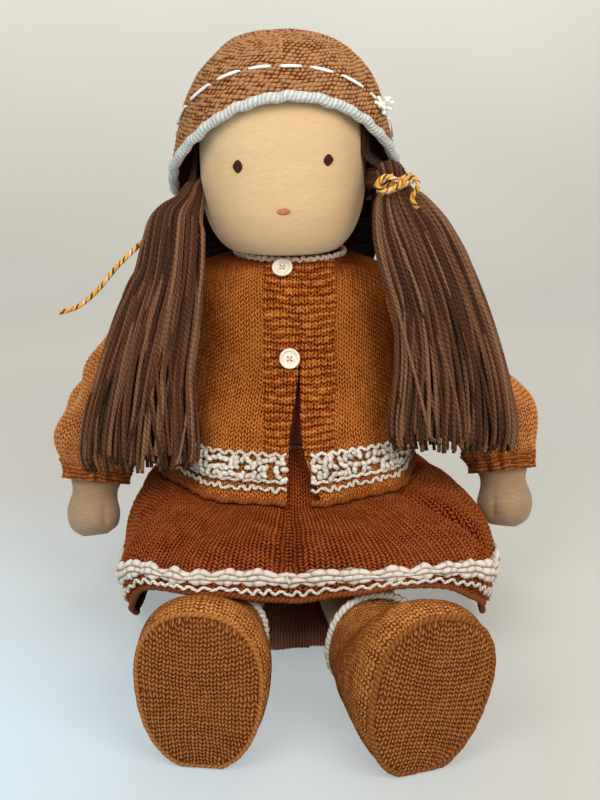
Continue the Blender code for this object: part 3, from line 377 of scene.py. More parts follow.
def wool(name, dark, middle, light, lift=0.0, mottle=0.12):
    """Knitted wool: painted shade between the stitches, painted light on their backs, with fine fibres.

    Lift makes all of it lighter, and mottle is how much one stitch differs from the next."""
    made, tree = new_material(name)
    place = add(tree, "ShaderNodeTexCoord", output=3)
    known = {
        "stitch": add(tree, "ShaderNodeAttribute", output=2, attribute_name="stitch"),
        "tone": add(tree, "ShaderNodeAttribute", output=2, attribute_name="tone"),
        "fibre": add(tree, "ShaderNodeTexNoise", {
            "Vector": place, "Scale": wool_fibre, "Detail": 4.0, "Roughness": 0.7}),
        "cloud": add(tree, "ShaderNodeTexNoise", {"Vector": place, "Scale": wool_cloud, "Detail": 3.0}),
    }
    formula(tree, known, [
        # The stitch's height paints shade into the gaps and light onto the backs; fibre, cloud and tone are
        # the wool's own.
        ("a", "MULTIPLY_ADD", "stitch", 1.55, -0.75 + lift),
        ("b", "MULTIPLY_ADD", "fibre", 0.90, "a"),
        ("c", "MULTIPLY_ADD", "cloud", 0.36, "b"),
        ("d", "MULTIPLY_ADD", "tone", mottle, "c"),
        ("bump", "MULTIPLY_ADD", "stitch", 0.3, "fibre"),
    ])
    colour = three_colours(tree, known["d"], dark, middle, light)
    close_material(tree, colour, known["bump"], 0.0005, **{
        "Roughness": 0.95, "Sheen Weight": 0.12, "Sheen Roughness": 0.5, "Sheen Tint": srgb(light),
        "Specular IOR Level": 0.08})
    return made


def yarn(name, colours, plies=2.0, pitch=3.2, depth=0.0004, tone=0.16, groove=0.55):
    """Twisted yarn: the plies wind round it, once in a pitch of millimetres.

    Each yarn has its own tone, and the groove between the plies is painted shade, their crowns painted
    light."""
    made, tree = new_material(name)
    turn = add(tree, "ShaderNodeUVMap", uv_map="UVMap")
    round_it, along, _ = add(tree, "ShaderNodeSeparateXYZ", (turn,)).node.outputs
    place = add(tree, "ShaderNodeTexCoord", output=3)
    known = {
        "u": round_it,
        "v": along,
        "tone": add(tree, "ShaderNodeAttribute", output=2, attribute_name="tone"),
        "fibre": add(tree, "ShaderNodeTexNoise", {"Vector": place, "Scale": yarn_fibre, "Detail": 3.0}),
    }
    formula(tree, known, [
        ("a", "MULTIPLY", "u", plies),
        ("b", "MULTIPLY_ADD", "v", 1.0 / pitch, "a"),
        ("c", "MULTIPLY", "b", math.pi),
        ("d", "SINE", "c"),
        ("ply", "ABSOLUTE", "d"),
        # Painted shade in the groove between the plies, painted light on their crowns.
        ("e", "MULTIPLY_ADD", "ply", groove, 0.17 - 0.64 * groove),
        ("f", "MULTIPLY_ADD", "fibre", 0.60, "e"),
        ("g", "MULTIPLY_ADD", "tone", tone, "f"),
        ("bump", "MULTIPLY_ADD", "fibre", 0.5, "ply"),
    ])
    colour = three_colours(tree, known["g"], *colours)
    close_material(tree, colour, known["bump"], depth, **{
        "Roughness": 0.88, "Sheen Weight": 0.12, "Sheen Roughness": 0.5, "Sheen Tint": srgb(colours[2]),
        "Specular IOR Level": 0.15})
    return made


# %% Knitting wool, white trim and hair yarn
# Three colours each: painted shade in the gaps, the flanks' colour, and painted light on the backs of the
# stitches or plies.
cardigan_wool = wool("cardigan_wool_stockinette", "#4a1300", "#9c5215", "#d38b4a", 0.08)
skirt_wool = wool("skirt_wool_stockinette", "#320a00", "#6e2b0a", "#a05626", 0.05)
# Painted light: the skirt's back part and the bodice lie in deep shade, so their wool is painted far
# lighter than the skirt's.
painted_light_under_wool = wool("skirt_back_wool_painted_light", "#8c4430", "#cc8468", "#e4b09a", 0.05)
sleeve_wool = wool("sleeve_wool_stockinette", "#561f04", "#a65e28", "#d4925a", 0.05)
hat_wool = wool("hat_wool_crochet", "#481c04", "#824f27", "#ae8056", 0.0, 0.46)
bootie_wool = wool("bootie_wool_stockinette", "#592708", "#9c5f29", "#cd9254", 0.05, 0.2)
# Painted shade: the upright soles are the booties' wool painted darker than the uppers, which get more of
# the light from above.
shaded_sole_wool = wool("bootie_sole_wool_painted_shade", "#552608", "#844c22", "#a46c3c", 0.05, 0.2)
white_wool = wool("white_wool_garter", "#7c6a58", "#b5a796", "#d8cdbf")
white_yarn = yarn("white_trim_yarn", ("#8a7b68", "#d2c8b6", "#f8f2e4"), pitch=2.6, groove=0.3)
rim_yarn = yarn("white_rim_yarn", ("#8f9089", "#ced0c8", "#f2f3ec"), pitch=2.4, groove=0.3)
brown_yarn = yarn("brown_edge_yarn", ("#451600", "#85441a", "#ae6c30"), pitch=2.6, groove=0.3)
bootie_yarn = yarn("bootie_seam_yarn", ("#451c04", "#8d5322", "#b57a42"), pitch=2.6, groove=0.3)
hair_yarn = yarn("hair_yarn", ("#200b03", "#58351f", "#8f6a4c"), pitch=3.0, tone=0.34, groove=0.18)
# Painted shade: the hair under the hat is the hair's yarn painted darker, for the hat's shadow.
shaded_cap_yarn = yarn("hair_yarn_painted_hat_shade", ("#0e0403", "#291712", "#4c342a"), pitch=3.0, tone=0.26, groove=0.20)
neck_yarn = yarn("neck_edge_yarn", ("#b3937f", "#e6cbb9", "#f8e9dd"), pitch=2.2, groove=0.3)
eye_thread = yarn("eye_thread", ("#180a05", "#3a1c0c", "#5d3c28"), pitch=1.2, depth=0.0001)
lip_thread = yarn("lip_thread", ("#8c4030", "#c4745c", "#dc9c84"), pitch=1.2, depth=0.0001)
print("materials so far:", len(bpy.data.materials))

# %% [markdown]
# ## Hair ties' cord
# A stiff cotton cord, twisted from strands of yellow, black, rose and cream. It
# has more gloss than wool. Its colours could be separate strands, but at 2.6 mm
# they show as slanting bands, so one value that runs along and half round the
# cord picks a colour, and a second one that winds round it gives the plies.

# %% Twisted cord in many colours
cord_fibre = 2400.0  # per metre: cotton tufts of 0.4 mm
plies_per_mm = 0.17  # one turn of the plies in 5.9 mm
bands_per_mm = 0.055  # the colours come again after 18 mm
cord_bands = (
    (0.20, "#1c0f12"), (0.30, "#e0a818"), (0.44, "#a8405c"), (0.52, "#e8d4c4"), (0.58, "#dd9a12"),
    (0.76, "#2a1420"), (0.84, "#e4b020"), (0.94, "#8e2b26"))
hair_cord, tree = new_material("hair_tie_cord")
turn = add(tree, "ShaderNodeUVMap", uv_map="UVMap")
round_it, along, _ = add(tree, "ShaderNodeSeparateXYZ", (turn,)).node.outputs
place = add(tree, "ShaderNodeTexCoord", output=3)
known = {
    "u": round_it,
    "v": along,
    "fibre": add(tree, "ShaderNodeTexNoise", {"Vector": place, "Scale": cord_fibre, "Detail": 2.0}),
}
formula(tree, known, [
    ("a", "MULTIPLY_ADD", "v", plies_per_mm, "u"),
    ("along", "MULTIPLY", "v", bands_per_mm),
    ("half", "MULTIPLY_ADD", "u", 0.5, "along"),
    ("b", "MULTIPLY_ADD", "fibre", 0.10, "half"),
    ("band", "FRACT", "b"),
    ("p", "MULTIPLY", "a", 2.0 * math.pi),
    ("q", "SINE", "p"),
    ("ply", "ABSOLUTE", "q"),
])
colour = srgb("#d0920c")
for limit, tint in cord_bands:
    step = add(tree, "ShaderNodeMath", (known["band"], limit), operation="GREATER_THAN")
    colour = add(tree, "ShaderNodeMix", {0: step, 6: colour, 7: srgb(tint)}, 2, data_type="RGBA")
close_material(tree, colour, known["ply"], 0.0004, **{"Roughness": 0.7, "Sheen Weight": 0.3})

# %% [markdown]
# ## Skin, buttons and ribbon
# The skin is tightly knitted cotton jersey, pulled over wool so that its rows
# lie level and a little light goes in. The buttons are moulded plastic with a
# pearly swirl under a clear gloss, and the ribbon is woven satin, smooth and
# pale. All three are plain shaders with noise, as nothing on them is coarse.

# %% Jersey skin, plastic buttons and satin ribbon
jersey_rows = 900.0  # per metre: rows of 1.1 mm, twice the real ones, so that they show
jersey_clouds = 60.0  # the wool's soft unevenness under the skin, 17 mm
pearl_swirl = 260.0  # 4 mm, about a third of a button
satin_thread = 3000.0  # threads of 0.3 mm, drawn coarser than real satin's


def knitted_jersey(name, dark, middle, light):
    """Cotton jersey stretched over wool: fine level rows, soft clouds and a little light inside."""
    made, tree = new_material(name)
    place = add(tree, "ShaderNodeTexCoord", output=3)
    level = add(tree, "ShaderNodeMapping", {0: place, 3: (0.25, 0.25, 1.0)})
    rows = add(tree, "ShaderNodeTexNoise", {
        "Vector": level, "Scale": jersey_rows, "Detail": 3.0, "Roughness": 0.6})
    soft = add(tree, "ShaderNodeTexNoise", {"Vector": level, "Scale": jersey_clouds, "Detail": 2.0})
    known = formula(tree, {"rows": rows, "soft": soft}, [
        ("a", "MULTIPLY", "rows", 0.55), ("b", "MULTIPLY_ADD", "soft", 0.45, "a")])
    colour = three_colours(tree, known["b"], dark, middle, light)
    close_material(tree, colour, rows, 0.00014, **{
        "Roughness": 0.88, "Sheen Weight": 0.15, "Sheen Roughness": 0.6, "Subsurface Weight": 0.12,
        "Subsurface Radius": (0.6, 0.35, 0.2), "Subsurface Scale": 0.004, "Specular IOR Level": 0.2})
    return made


jersey = knitted_jersey("cotton_jersey_skin", "#b6946a", "#cbaa7e", "#dbc19a")
# Painted shade: the hands are the skin's jersey painted darker, for the sleeves' shadow and the dimmer
# light low down.
shaded_hand_jersey = knitted_jersey("cotton_jersey_hand_painted_shade", "#775a3e", "#987a5a", "#b49876")

pearl, tree = new_material("pearl_button_plastic")
place = add(tree, "ShaderNodeTexCoord", output=3)
swirl = add(tree, "ShaderNodeTexNoise", {
    "Vector": place, "Scale": pearl_swirl, "Detail": 2.0, "Distortion": 1.5})
colour = three_colours(tree, swirl, "#cdb79a", "#e6d9c4", "#f6f0e4")
close_material(tree, colour, swirl, 0.00004, **{
    "Roughness": 0.22, "Coat Weight": 0.4, "Coat Roughness": 0.15})

satin, tree = new_material("white_satin_ribbon")
place = add(tree, "ShaderNodeTexCoord", output=3)
weave = add(tree, "ShaderNodeTexNoise", {"Vector": place, "Scale": satin_thread, "Detail": 2.0})
colour = three_colours(tree, weave, "#cfc9bd", "#e9e5dc", "#f7f5ef")
close_material(tree, colour, weave, 0.00008, **{"Roughness": 0.4, "Sheen Weight": 0.3})
print("materials:", [m.name for m in bpy.data.materials][-6:])

# %% [markdown]
# ## The places that the CAD model is built from
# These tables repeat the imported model's own values, so that every piece here
# lies where its solid lies. A row of shares gives a height and the width, depth
# and lean there. A row of a limb or a bunch gives a place and its half sizes.

# %% Body and clothes tables
torso_shares = (
    (0.0, 0.91, 1.00, 0.63), (0.025, 1.18, 1.27, 0.50), (0.10, 1.30, 1.38, 0.44),
    (0.21, 1.25, 1.31, 0.31), (0.34, 1.11, 1.16, 0.19), (0.46, 1.05, 1.10, 0.25),
    (0.57, 1.02, 1.09, 0.38), (0.73, 0.98, 1.03, 0.63), (0.86, 1.00, 0.97, 0.75),
    (0.935, 0.95, 0.90, 0.85), (0.985, 0.78, 0.76, 0.94), (1.0, 0.52, 0.62, 1.00))
cardigan_shares = (
    (0.0, 1.17, 1.615, -0.44), (0.09, 1.13, 1.49, -0.25), (0.17, 1.13, 1.39, -0.08),
    (0.25, 1.11, 1.28, 0.09), (0.38, 1.08, 1.14, 0.35), (0.56, 1.04, 1.06, 0.60),
    (0.75, 1.00, 1.01, 0.75), (0.885, 0.94, 0.95, 0.86), (0.96, 0.76, 0.82, 0.94),
    (1.0, 0.52, 0.72, 1.00))
hem_z, neck_z, hem_width, hem_depth, lean_y = 0.074, 0.195, 0.062, 0.039, 0.016
seam_y = 0.006  # the side seams' place in depth
parting_top, parting_width = 0.146, 0.0100
parting_shares = (
    (0.0, 0.0, 0.0), (0.26, -0.20, 0.02), (0.56, -0.60, 0.05), (0.76, -0.66, 0.38),
    (0.90, -0.68, 0.90), (1.0, -0.68, 1.10))
hem_shares = (
    (0.00, -0.93, 0.78), (0.30, -1.00, 0.91), (0.58, -1.00, 1.00), (0.84, -0.90, 0.84),
    (1.00, -0.72, 0.50), (1.06, -0.50, 0.16), (1.05, -0.24, 0.05), (0.98, 0.00, 0.03),
    (0.88, 0.37, 0.03), (0.70, 0.68, 0.03), (0.48, 0.88, 0.03), (0.24, 0.98, 0.03),
    (0.00, 1.00, 0.03), (-0.24, 0.98, 0.03), (-0.45, 0.88, 0.03), (-0.64, 0.68, 0.03),
    (-0.76, 0.37, 0.03), (-0.83, 0.00, 0.03), (-0.84, -0.24, 0.04), (-0.84, -0.48, 0.14),
    (-0.82, -0.71, 0.44), (-0.72, -0.91, 0.86), (-0.52, -1.00, 0.95), (-0.27, -1.00, 0.89))

# %% Head, hair and hat tables
# A bunch's first row lies at the cap, and the next two are its tied place. The roots and falls are
# how the yarns leave the head and hang, inside the solid bunches.
head_middle = np.array((-0.003, 0.018, 0.2560))
head_size = np.array((0.0485, 0.050, 0.0585))
hat_profile = (
    (0.0, 1.0), (0.03, 1.0), (0.18, 0.965), (0.3916, 0.90), (0.4955, 0.86), (0.71, 0.735),
    (0.881, 0.54), (0.962, 0.33), (1.0, 0.0))
hat_radius, hat_x, hat_y, crown_z = 0.0635, -0.003, 0.0190, 0.243
rim_front, rim_bend, rim_back = np.array((-0.050, 0.3158)), np.array((0.0, 0.234)), np.array((0.098, 0.204))
bunch_left = (
    (-0.0450, 0.0150, 0.2340, .0060, .0060), (-0.0560, -0.0225, 0.2150, .0080, .0080),
    (-0.0585, -0.0260, 0.2050, .0080, .0080), (-0.0645, -0.0330, 0.1880, .0185, .0105),
    (-0.0700, -0.0390, 0.1680, .0225, .0115), (-0.0760, -0.0440, 0.1430, .0255, .0120),
    (-0.0800, -0.0500, 0.1160, .0305, .0120), (-0.0815, -0.0540, 0.0970, .0320, .0105),
    (-0.0815, -0.0560, 0.0870, .0270, .0070))
bunch_right = (
    (0.0440, 0.0060, 0.2400, .0058, .0058), (0.0540, -0.0245, 0.2445, .0075, .0075),
    (0.0580, -0.0265, 0.2350, .0075, .0075), (0.0655, -0.0300, 0.2180, .0160, .0100),
    (0.0730, -0.0330, 0.2010, .0195, .0110), (0.0810, -0.0360, 0.1800, .0210, .0115),
    (0.0870, -0.0400, 0.1560, .0250, .0120), (0.0905, -0.0450, 0.1340, .0290, .0120),
    (0.0915, -0.0500, 0.1110, .0320, .0110), (0.0915, -0.0530, 0.0970, .0290, .0070))
root_left = (
    (-0.0450, 0.0150, 0.2340, .0060, .0060), (-0.0520, 0.0015, 0.2315, .0064, .0064),
    (-0.0545, -0.0110, 0.2245, .0070, .0070))
root_right = (
    (0.0440, 0.0080, 0.2380, .0058, .0058), (0.0515, -0.0040, 0.2405, .0060, .0060),
    (0.0530, -0.0145, 0.2425, .0060, .0060))
fall_left = (
    *root_left[:2], (-0.0548, -0.0100, 0.2255, .0086, .0080),
    (-0.0600, -0.0202, 0.2170, .0146, .0128), (-0.0615, -0.0268, 0.2080, .0168, .0140),
    (-0.0645, -0.0330, 0.1880, .0188, .0120), *bunch_left[4:])
fall_right = (
    *root_right, (0.0542, -0.0235, 0.2425, .0072, .0072), (0.0556, -0.0262, 0.2370, .0082, .0080),
    (0.0572, -0.0275, 0.2310, .0128, .0096), (0.0628, -0.0295, 0.2180, .0190, .0108),
    (0.0685, -0.0320, 0.2050, .0218, .0112),
    *((x - 0.0030, y, z, a + 0.0030, b) for x, y, z, a, b in bunch_right[5:]))
tail_route = (
    (-0.0700, -0.0155, 0.2120), (-0.0755, -0.0190, 0.2105), (-0.0795, -0.0240, 0.2080),
    (-0.0835, -0.0290, 0.2045), (-0.0875, -0.0315, 0.2010), (-0.0920, -0.0320, 0.1965),
    (-0.0960, -0.0325, 0.1920), (-0.1005, -0.0330, 0.1865), (-0.1060, -0.0335, 0.1810),
    (-0.1115, -0.0340, 0.1765), (-0.1175, -0.0345, 0.1735), (-0.1240, -0.0350, 0.1720))
bow_knot, bow_length = np.array((0.0565, -0.0385, 0.2412)), 0.0098
bow_shares = (
    (0.05, 0.10, 0.10), (-0.25, 0.00, 0.32), (-0.65, -0.05, 0.42), (-1.00, -0.08, 0.20),
    (-1.05, -0.12, -0.12), (-0.75, -0.16, -0.34), (-0.30, -0.20, -0.22), (0.05, -0.24, -0.02),
    (0.40, -0.22, 0.30), (0.80, -0.18, 0.38), (1.05, -0.12, 0.10), (1.00, -0.06, -0.30),
    (0.80, 0.00, -0.62), (0.85, 0.04, -0.95), (1.10, 0.08, -1.25))

# %% Limb tables
arm_left = (
    (-0.0600, 0.0120, 0.1735, .0181), (-0.0800, 0.0050, 0.1500, .0183),
    (-0.0985, -0.0040, 0.1200, .0188), (-0.1085, -0.0120, 0.0950, .0192),
    (-0.1105, -0.0180, 0.0780, .0175), (-0.1115, -0.0215, 0.0690, .0142),
    (-0.1120, -0.0240, 0.0625, .0128), (-0.1125, -0.0280, 0.0530, .0150),
    (-0.1120, -0.0310, 0.0445, .0132), (-0.1115, -0.0325, 0.0400, .0070))
arm_right = (
    (0.0610, 0.0120, 0.1735, .0181), (0.0830, 0.0060, 0.1500, .0183),
    (0.1060, -0.0010, 0.1220, .0188), (0.1180, -0.0080, 0.0990, .0190),
    (0.1215, -0.0140, 0.0820, .0172), (0.1225, -0.0170, 0.0740, .0142),
    (0.1230, -0.0190, 0.0675, .0130), (0.1240, -0.0215, 0.0570, .0158),
    (0.1235, -0.0240, 0.0480, .0138), (0.1230, -0.0255, 0.0430, .0075))
feet = {"left": ((-0.0395, -0.2020), 0.0, -7.0, -0.031), "right": ((0.0560, -0.2070), 13.0, 20.0, 0.031)}
bootie_rings = (
    (0.0, 0.95, 0.97, 0.0, 1.0), (0.07, 1.02, 1.0, 0.0, 1.0), (0.21, 1.04, 1.0, 0.0, 1.0),
    (0.375, 0.98, 0.89, 0.12, 0.7), (0.566, 0.87, 0.71, 0.45, 0.3),
    (0.755, 0.80, 0.60, 0.85, 0.1), (1.0, 0.78, 0.585, 1.0, 0.0), (1.13, 0.80, 0.60, 1.0, 0.0))
foot_height, foot_half_width, bootie_depth, sole_depth = 0.079, 0.0285, 0.070, 0.003

# %% [markdown]
# ## Cords first: the hair ties
# Each bunch is tied with two and a quarter turns of cord. The right one ends in
# a small bow, and the left one in a free tail that is shown from end to end and
# sticks out over the shoulder. They are tubes along smooth curves, which bend
# like the stiff cord does. The tail is made first.


# %% Wraps, tail and bow
cord_radius = 0.0013
wrap_rise = 0.0034  # from one turn of the wrap to the next


def wrap_points(path, start_share):
    """Two and a quarter turns round a bunch's tied place."""
    low, high = (np.array(path[i]) for i in (1, 2))
    along = unit(high[:3] - low[:3])
    side = unit(np.cross(along, (1, 0, 0)))
    over = np.cross(along, side)
    middle = (low[:3] + high[:3]) / 2 - along * (wrap_rise * 2.25 / 2)
    step = np.arange(32)[:, None] / 14
    turn = math.tau * (start_share + step)
    radius = low[3] + 0.0004 + cord_radius * 1.08
    return middle + (side * np.cos(turn) + over * np.sin(turn)) * radius + along * (wrap_rise * step)


turns = wrap_points(bunch_left, 0.5)
leave = turns[0] + unit(turns[0] - turns[1]) * 0.0026
tail_path = curve([turns[0], leave, *tail_route], count=36)
tail = tubes("hair_tie_left_tail_cord", [tail_path], cord_radius, hair_cord, 14)
put(tail, "head", "hair_tie_left_tail")
for name, path in (("hair_tie_left", turns), ("hair_tie_right", wrap_points(bunch_right, 0.0)),
                   ("hair_tie_right_bow", [bow_knot + np.array(p) * bow_length for p in bow_shares])):
    put(tubes(name + "_cord", [curve(path, step=0.0006)], cord_radius, hair_cord, 14), "head", name)

# %% [markdown]
# ## Head
# The head is a firm jersey ball, squarer than round and flat at the chin. A
# squashed sphere would be too pointed, so a rounded square's sections are laid
# over each other by height, and go down into the neck.


# %% Head
def head_grid(levels, angles, grown):
    """The head's skin at height shares and angles, grown by an amount."""
    level = np.clip(levels, -0.99999, 0.99999)[:, None]
    power = np.where(level > 0, 2.1, 3.2)
    spread = (1 - np.abs(level) ** power) ** (1 / power)
    c, s = np.cos(angles), np.sin(angles)
    c, s = np.sign(c) * np.abs(c) ** (2 / 2.3), np.sign(s) * np.abs(s) ** (2 / 2.3)
    x = head_middle[0] - 0.0006 + (head_size[0] - 0.0020 + grown) * spread * c
    y = head_middle[1] + 0.007 * np.minimum(0, level) + (head_size[1] + grown) * spread * s
    tall = np.where(level > 0, -0.0032, 0.0036)
    return np.stack([x, y, head_middle[2] + (head_size[2] + tall + grown) * level + 0 * x], -1)


around = np.linspace(0, math.tau, 96, endpoint=False)
skin = head_grid(np.cos(np.linspace(math.pi * 0.85, 0.01, 60)), around, 0)
neck_rows = [np.stack([0.019 * np.cos(around), 0.0155 + 0.019 * np.sin(around), np.full(96, z)], -1)
             for z in (0.1894, 0.1935, 0.1975)]
head = grid("head_skin", np.concatenate([neck_rows, skin]), jersey, ring=True)
put(head, "head", "head")
head_tree = BVHTree.FromObject(head, bpy.context.evaluated_depsgraph_get())
print("head points:", len(head.data.vertices))

# %% [markdown]
# ## Eyes and mouth
# They are satin stitches: short threads side by side, sewn into the skin. Each
# thread here is a thin tube that starts and ends on the head's surface, which a
# ray finds, and rises a little in between.


# %% Eyes and mouth
def on_face(x, z, lift):
    """A place on the face's skin seen from the front."""
    start = Vector((head_middle[0] + x, -0.2, head_middle[2] + z))
    hit, normal, _, _ = head_tree.ray_cast(start, Vector((0, 1, 0)))
    return np.array(hit + normal * lift)


face_thread_radius = 0.00038
for name, middle, half, count, lean, thread in (
        ("eye_left", (-0.0238, -0.0070), (0.00245, 0.0034), 9, 0.02, eye_thread),
        ("eye_right", (0.0236, -0.0037), (0.00240, 0.0030), 9, 0.05, eye_thread),
        ("mouth", (0.0003, -0.0297), (0.0035, 0.0017), 13, 0.10, lip_thread)):
    threads = []
    for i in range(count):
        x = 2 * (i + 0.5) / count - 1
        reach = half[1] * (1 - abs(x) ** 1.6) ** 0.75
        x = x * half[0]
        spots = [(x + lean * reach * k, middle[1] + reach * k) for k in np.linspace(-1, 1, 7)]
        rise = [0.0006 * (1 - abs(k) ** 4) for k in np.linspace(-1, 1, 7)]
        threads.append(curve([on_face(middle[0] + a, b, r) for (a, b), r in zip(spots, rise)], count=12))
    stitches = tubes(name + "_stitches", threads, face_thread_radius, thread, 6)
    put(stitches, "head", name)
    print(name, "threads:", count)

# %% [markdown]
# ## Hair cap
# The hair is wool yarn, sewn along a parting and laid over the skull to the two
# bunches. The hat hides most of it. It shows beside the face and at the nape,
# where the yarns hang low from one bunch to the other. Separate tubes keep the
# gaps and the crossing yarns that a plain shell would not have.


# %% Hair cap: yarns laid from a middle parting to the two bunches
def on_head(direction, lift):
    """A place over the skull in a direction from the head's middle."""
    hit, _, _, _ = head_tree.find_nearest(Vector(head_middle + direction * 0.062))
    return np.array(hit) + unit(direction) * lift


def hairline(z):
    """The hair's front edge at a height."""
    return -0.001 - (z - 0.256) * math.tan(math.radians(10))


cap_yarns = []
nape_count, nape_height = 34, 0.0330
for side, path in ((-1, bunch_left), (1, bunch_right)):
    gather = unit(np.array(path[0][:3]) - head_middle)
    for layer, count in ((0.0011, 46), (0.0020, 40)):
        for i in range(count):
            share = (i + rng.uniform(-0.2, 0.2)) / (count - 1)
            angle = math.radians(-4 + 150 * share)
            first = np.array((side * 0.03, math.sin(angle), math.cos(angle)))
            swing = side * (0.5 + 0.35 * math.sin(math.pi * share))
            spots = []
            for k in np.linspace(0, 1, 15):
                sideways = np.array((swing, 0, 0)) * math.sin(math.pi * k) * 0.6
                way = unit(unit(first) * (1 - k) + gather * k + sideways)
                spot = on_head(way, layer)
                spot[1] = max(spot[1], hairline(spot[2]) - 0.0006 + layer * 0.3)
                spots.append((*spot, 1.0 - 0.25 * k))
            cap_yarns.append(curve(spots, count=30))
for side in (-1, 1):
    for i in range(nape_count):
        drop = nape_height * i / (nape_count - 1) + rng.uniform(-0.001, 0.001)
        spots = ((0.002 * side, 0.0685, 0.219 - drop * 0.9), (0.026 * side, 0.0625, 0.218 - drop * 0.9),
                 (0.0440 * side, 0.046, 0.218 - drop), (0.0510 * side, 0.027, 0.222 - drop * 0.95),
                 (0.0500 * side, 0.010, 0.231 - drop * 0.5))
        cap_yarns.append(curve([(x - 0.003, y, z, 1.0) for x, y, z in spots], count=30))
for side, root, near in ((-1, (-0.0535, -0.0040, 0.2320), 80), (1, (0.0535, -0.0150, 0.2420), 62)):
    for i in range(15):
        angle = math.radians(near + 2.2 * i)
        way = [(side * math.sin(angle), -math.cos(angle), h) for h in (1.0, 0.55, 0.2, -0.05)]
        spots = [on_head(unit(np.array(d)), 0.0018 + 0.0006 * (i % 2)) for d in way]
        loose = np.array((0.001 * math.cos(i), 0.003 * math.sin(i), 0.002 * math.cos(i * 2)))
        spots.append(np.array(root) + loose)
        cap_yarns.append(curve([(*spot, 1.0) for spot in spots], count=30))
cap_radius = 0.00138
# The cap's yarn is painted darker as painted shade of the hat.
put(tubes("hair_cap_yarns", cap_yarns, cap_radius, shaded_cap_yarn, 6), "head", "hair_cap")
print("cap yarns:", len(cap_yarns))

# %% [markdown]
# ## Hair bunches
# Two hundred and six yarns each: 56 keep the tied form, and 150 hang round them.
# They leave the cap together, are squeezed by the tie, and fan out over the
# shoulder to uneven cut ends. Hair curves of Blender's own would not export, so
# these are tubes too.


# %% Bunches
def bunch_yarns(path, count, crossing, rim_share=0.62):
    """Yarn lines inside a bunch's sections, most of them round its outside."""
    path = curve(path, count=90)
    along = unit(np.gradient(path[:, :3], axis=0))
    forward = unit(np.cross(along, (1, 0, 0)))
    across = np.cross(forward, along)
    share = np.linspace(0, 1, 90)
    outside = int(count * rim_share)
    lines = []
    for i in range(count):
        outer = i < outside
        turn = math.tau * (i / outside if outer else i * 0.618034) + rng.uniform(-0.06, 0.06)
        reach = rng.uniform(0.88, 1.0) if outer else rng.uniform(0.2, 0.80)
        drift = rng.normal(0, 0.12) * share ** 2
        if outer and rng.uniform() < crossing:
            drift = drift + rng.choice((-1, 1)) * rng.uniform(0.4, 0.9) * np.clip(share - 0.55, 0, 1) * 2.0
        a = np.cos(turn + drift) * reach
        b = np.sin(turn + drift) * reach
        line = path[:, :3] + across * (path[:, 3] * a)[:, None] + forward * (path[:, 4] * b)[:, None]
        for way in (across, forward):
            wave = 0.0010 * np.sin(share * rng.uniform(6, 16) + rng.uniform(0, 6))
            wave = wave * np.clip(share * 3 - 0.4, 0, 1)
            line = line + way * (wave * rng.uniform(0.3, 1))[:, None]
        squeeze = np.clip(path[:, 3] / 0.015, 0.60, 1.0) * rng.uniform(0.85, 1.12)
        lines.append(np.column_stack([line, squeeze])[:rng.integers(84, 90)])
    return lines


hair_radius = 0.00108
for side, path, fall in (("left", (*root_left, *bunch_left[1:]), fall_left),
                         ("right", (*root_right, *bunch_right[1:]), fall_right)):
    lines = bunch_yarns(path, 56, 0.0) + bunch_yarns(fall, 150, 0.2, 0.80)
    bunch = tubes("hair_bunch_" + side + "_yarns", lines, hair_radius, hair_yarn, 5)
    high, low = (0.203, 0.165) if side == "left" else (0.226, 0.178)
    x, y = path[4][:2]
    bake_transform(bunch)
    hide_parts("hair_bunch_" + side)
    print(side, "bunch faces:", len(bunch.data.polygons))

# %% [markdown]
# ## Hat
# A crocheted bonnet worked in rounds: the number of stitches falls towards the
# crown, so they keep their size. A flat pattern wrapped over a ball would
# shrink there, so the stitches are counted anew in each round. The rim slants
# from the brow to the nape.


# %% Hat surface
hat_top = head_middle[2] + head_size[2] + 0.0024
rim_turn = 0.085  # the hat sits turned a little, so one side of its rim is higher
crown_line = curve([(hat_radius * r, crown_z + (hat_top - crown_z) * h, 0)
                    for h, r in (*hat_profile, (0.962, -0.33))], count=800)
crown_line = crown_line[:int(np.argmax(crown_line[:, 0] < 0))]
crown_line[:, 1] = np.maximum.accumulate(crown_line[:, 1] + np.arange(len(crown_line)) * 1e-9)


def hat_reach(height):
    """The hat's radius at a height."""
    return np.interp(height, crown_line[:, 1], crown_line[:, 0])


def rim_place(angle, offset, rise):
    """A place on the hat round its rim, raised above the edge."""
    angle = np.asarray(angle, float)
    share = np.full(angle.shape, 0.5)
    for _ in range(40):
        a, b, c = (1 - share) ** 2, 2 * share * (1 - share), share ** 2
        y = rim_front[0] * a + rim_bend[0] * b + rim_back[0] * c
        height = rim_front[1] * a + rim_bend[1] * b + rim_back[1] * c + rise
        radius = hat_reach(height) + offset
        target = hat_y - radius * np.cos(angle - rim_turn)
        share = np.clip(share + 0.6 * (target - y) / (rim_back[0] - rim_front[0]), 0, 1)
    return np.stack([hat_x + radius * np.sin(angle), hat_y - radius * np.cos(angle), height], -1)


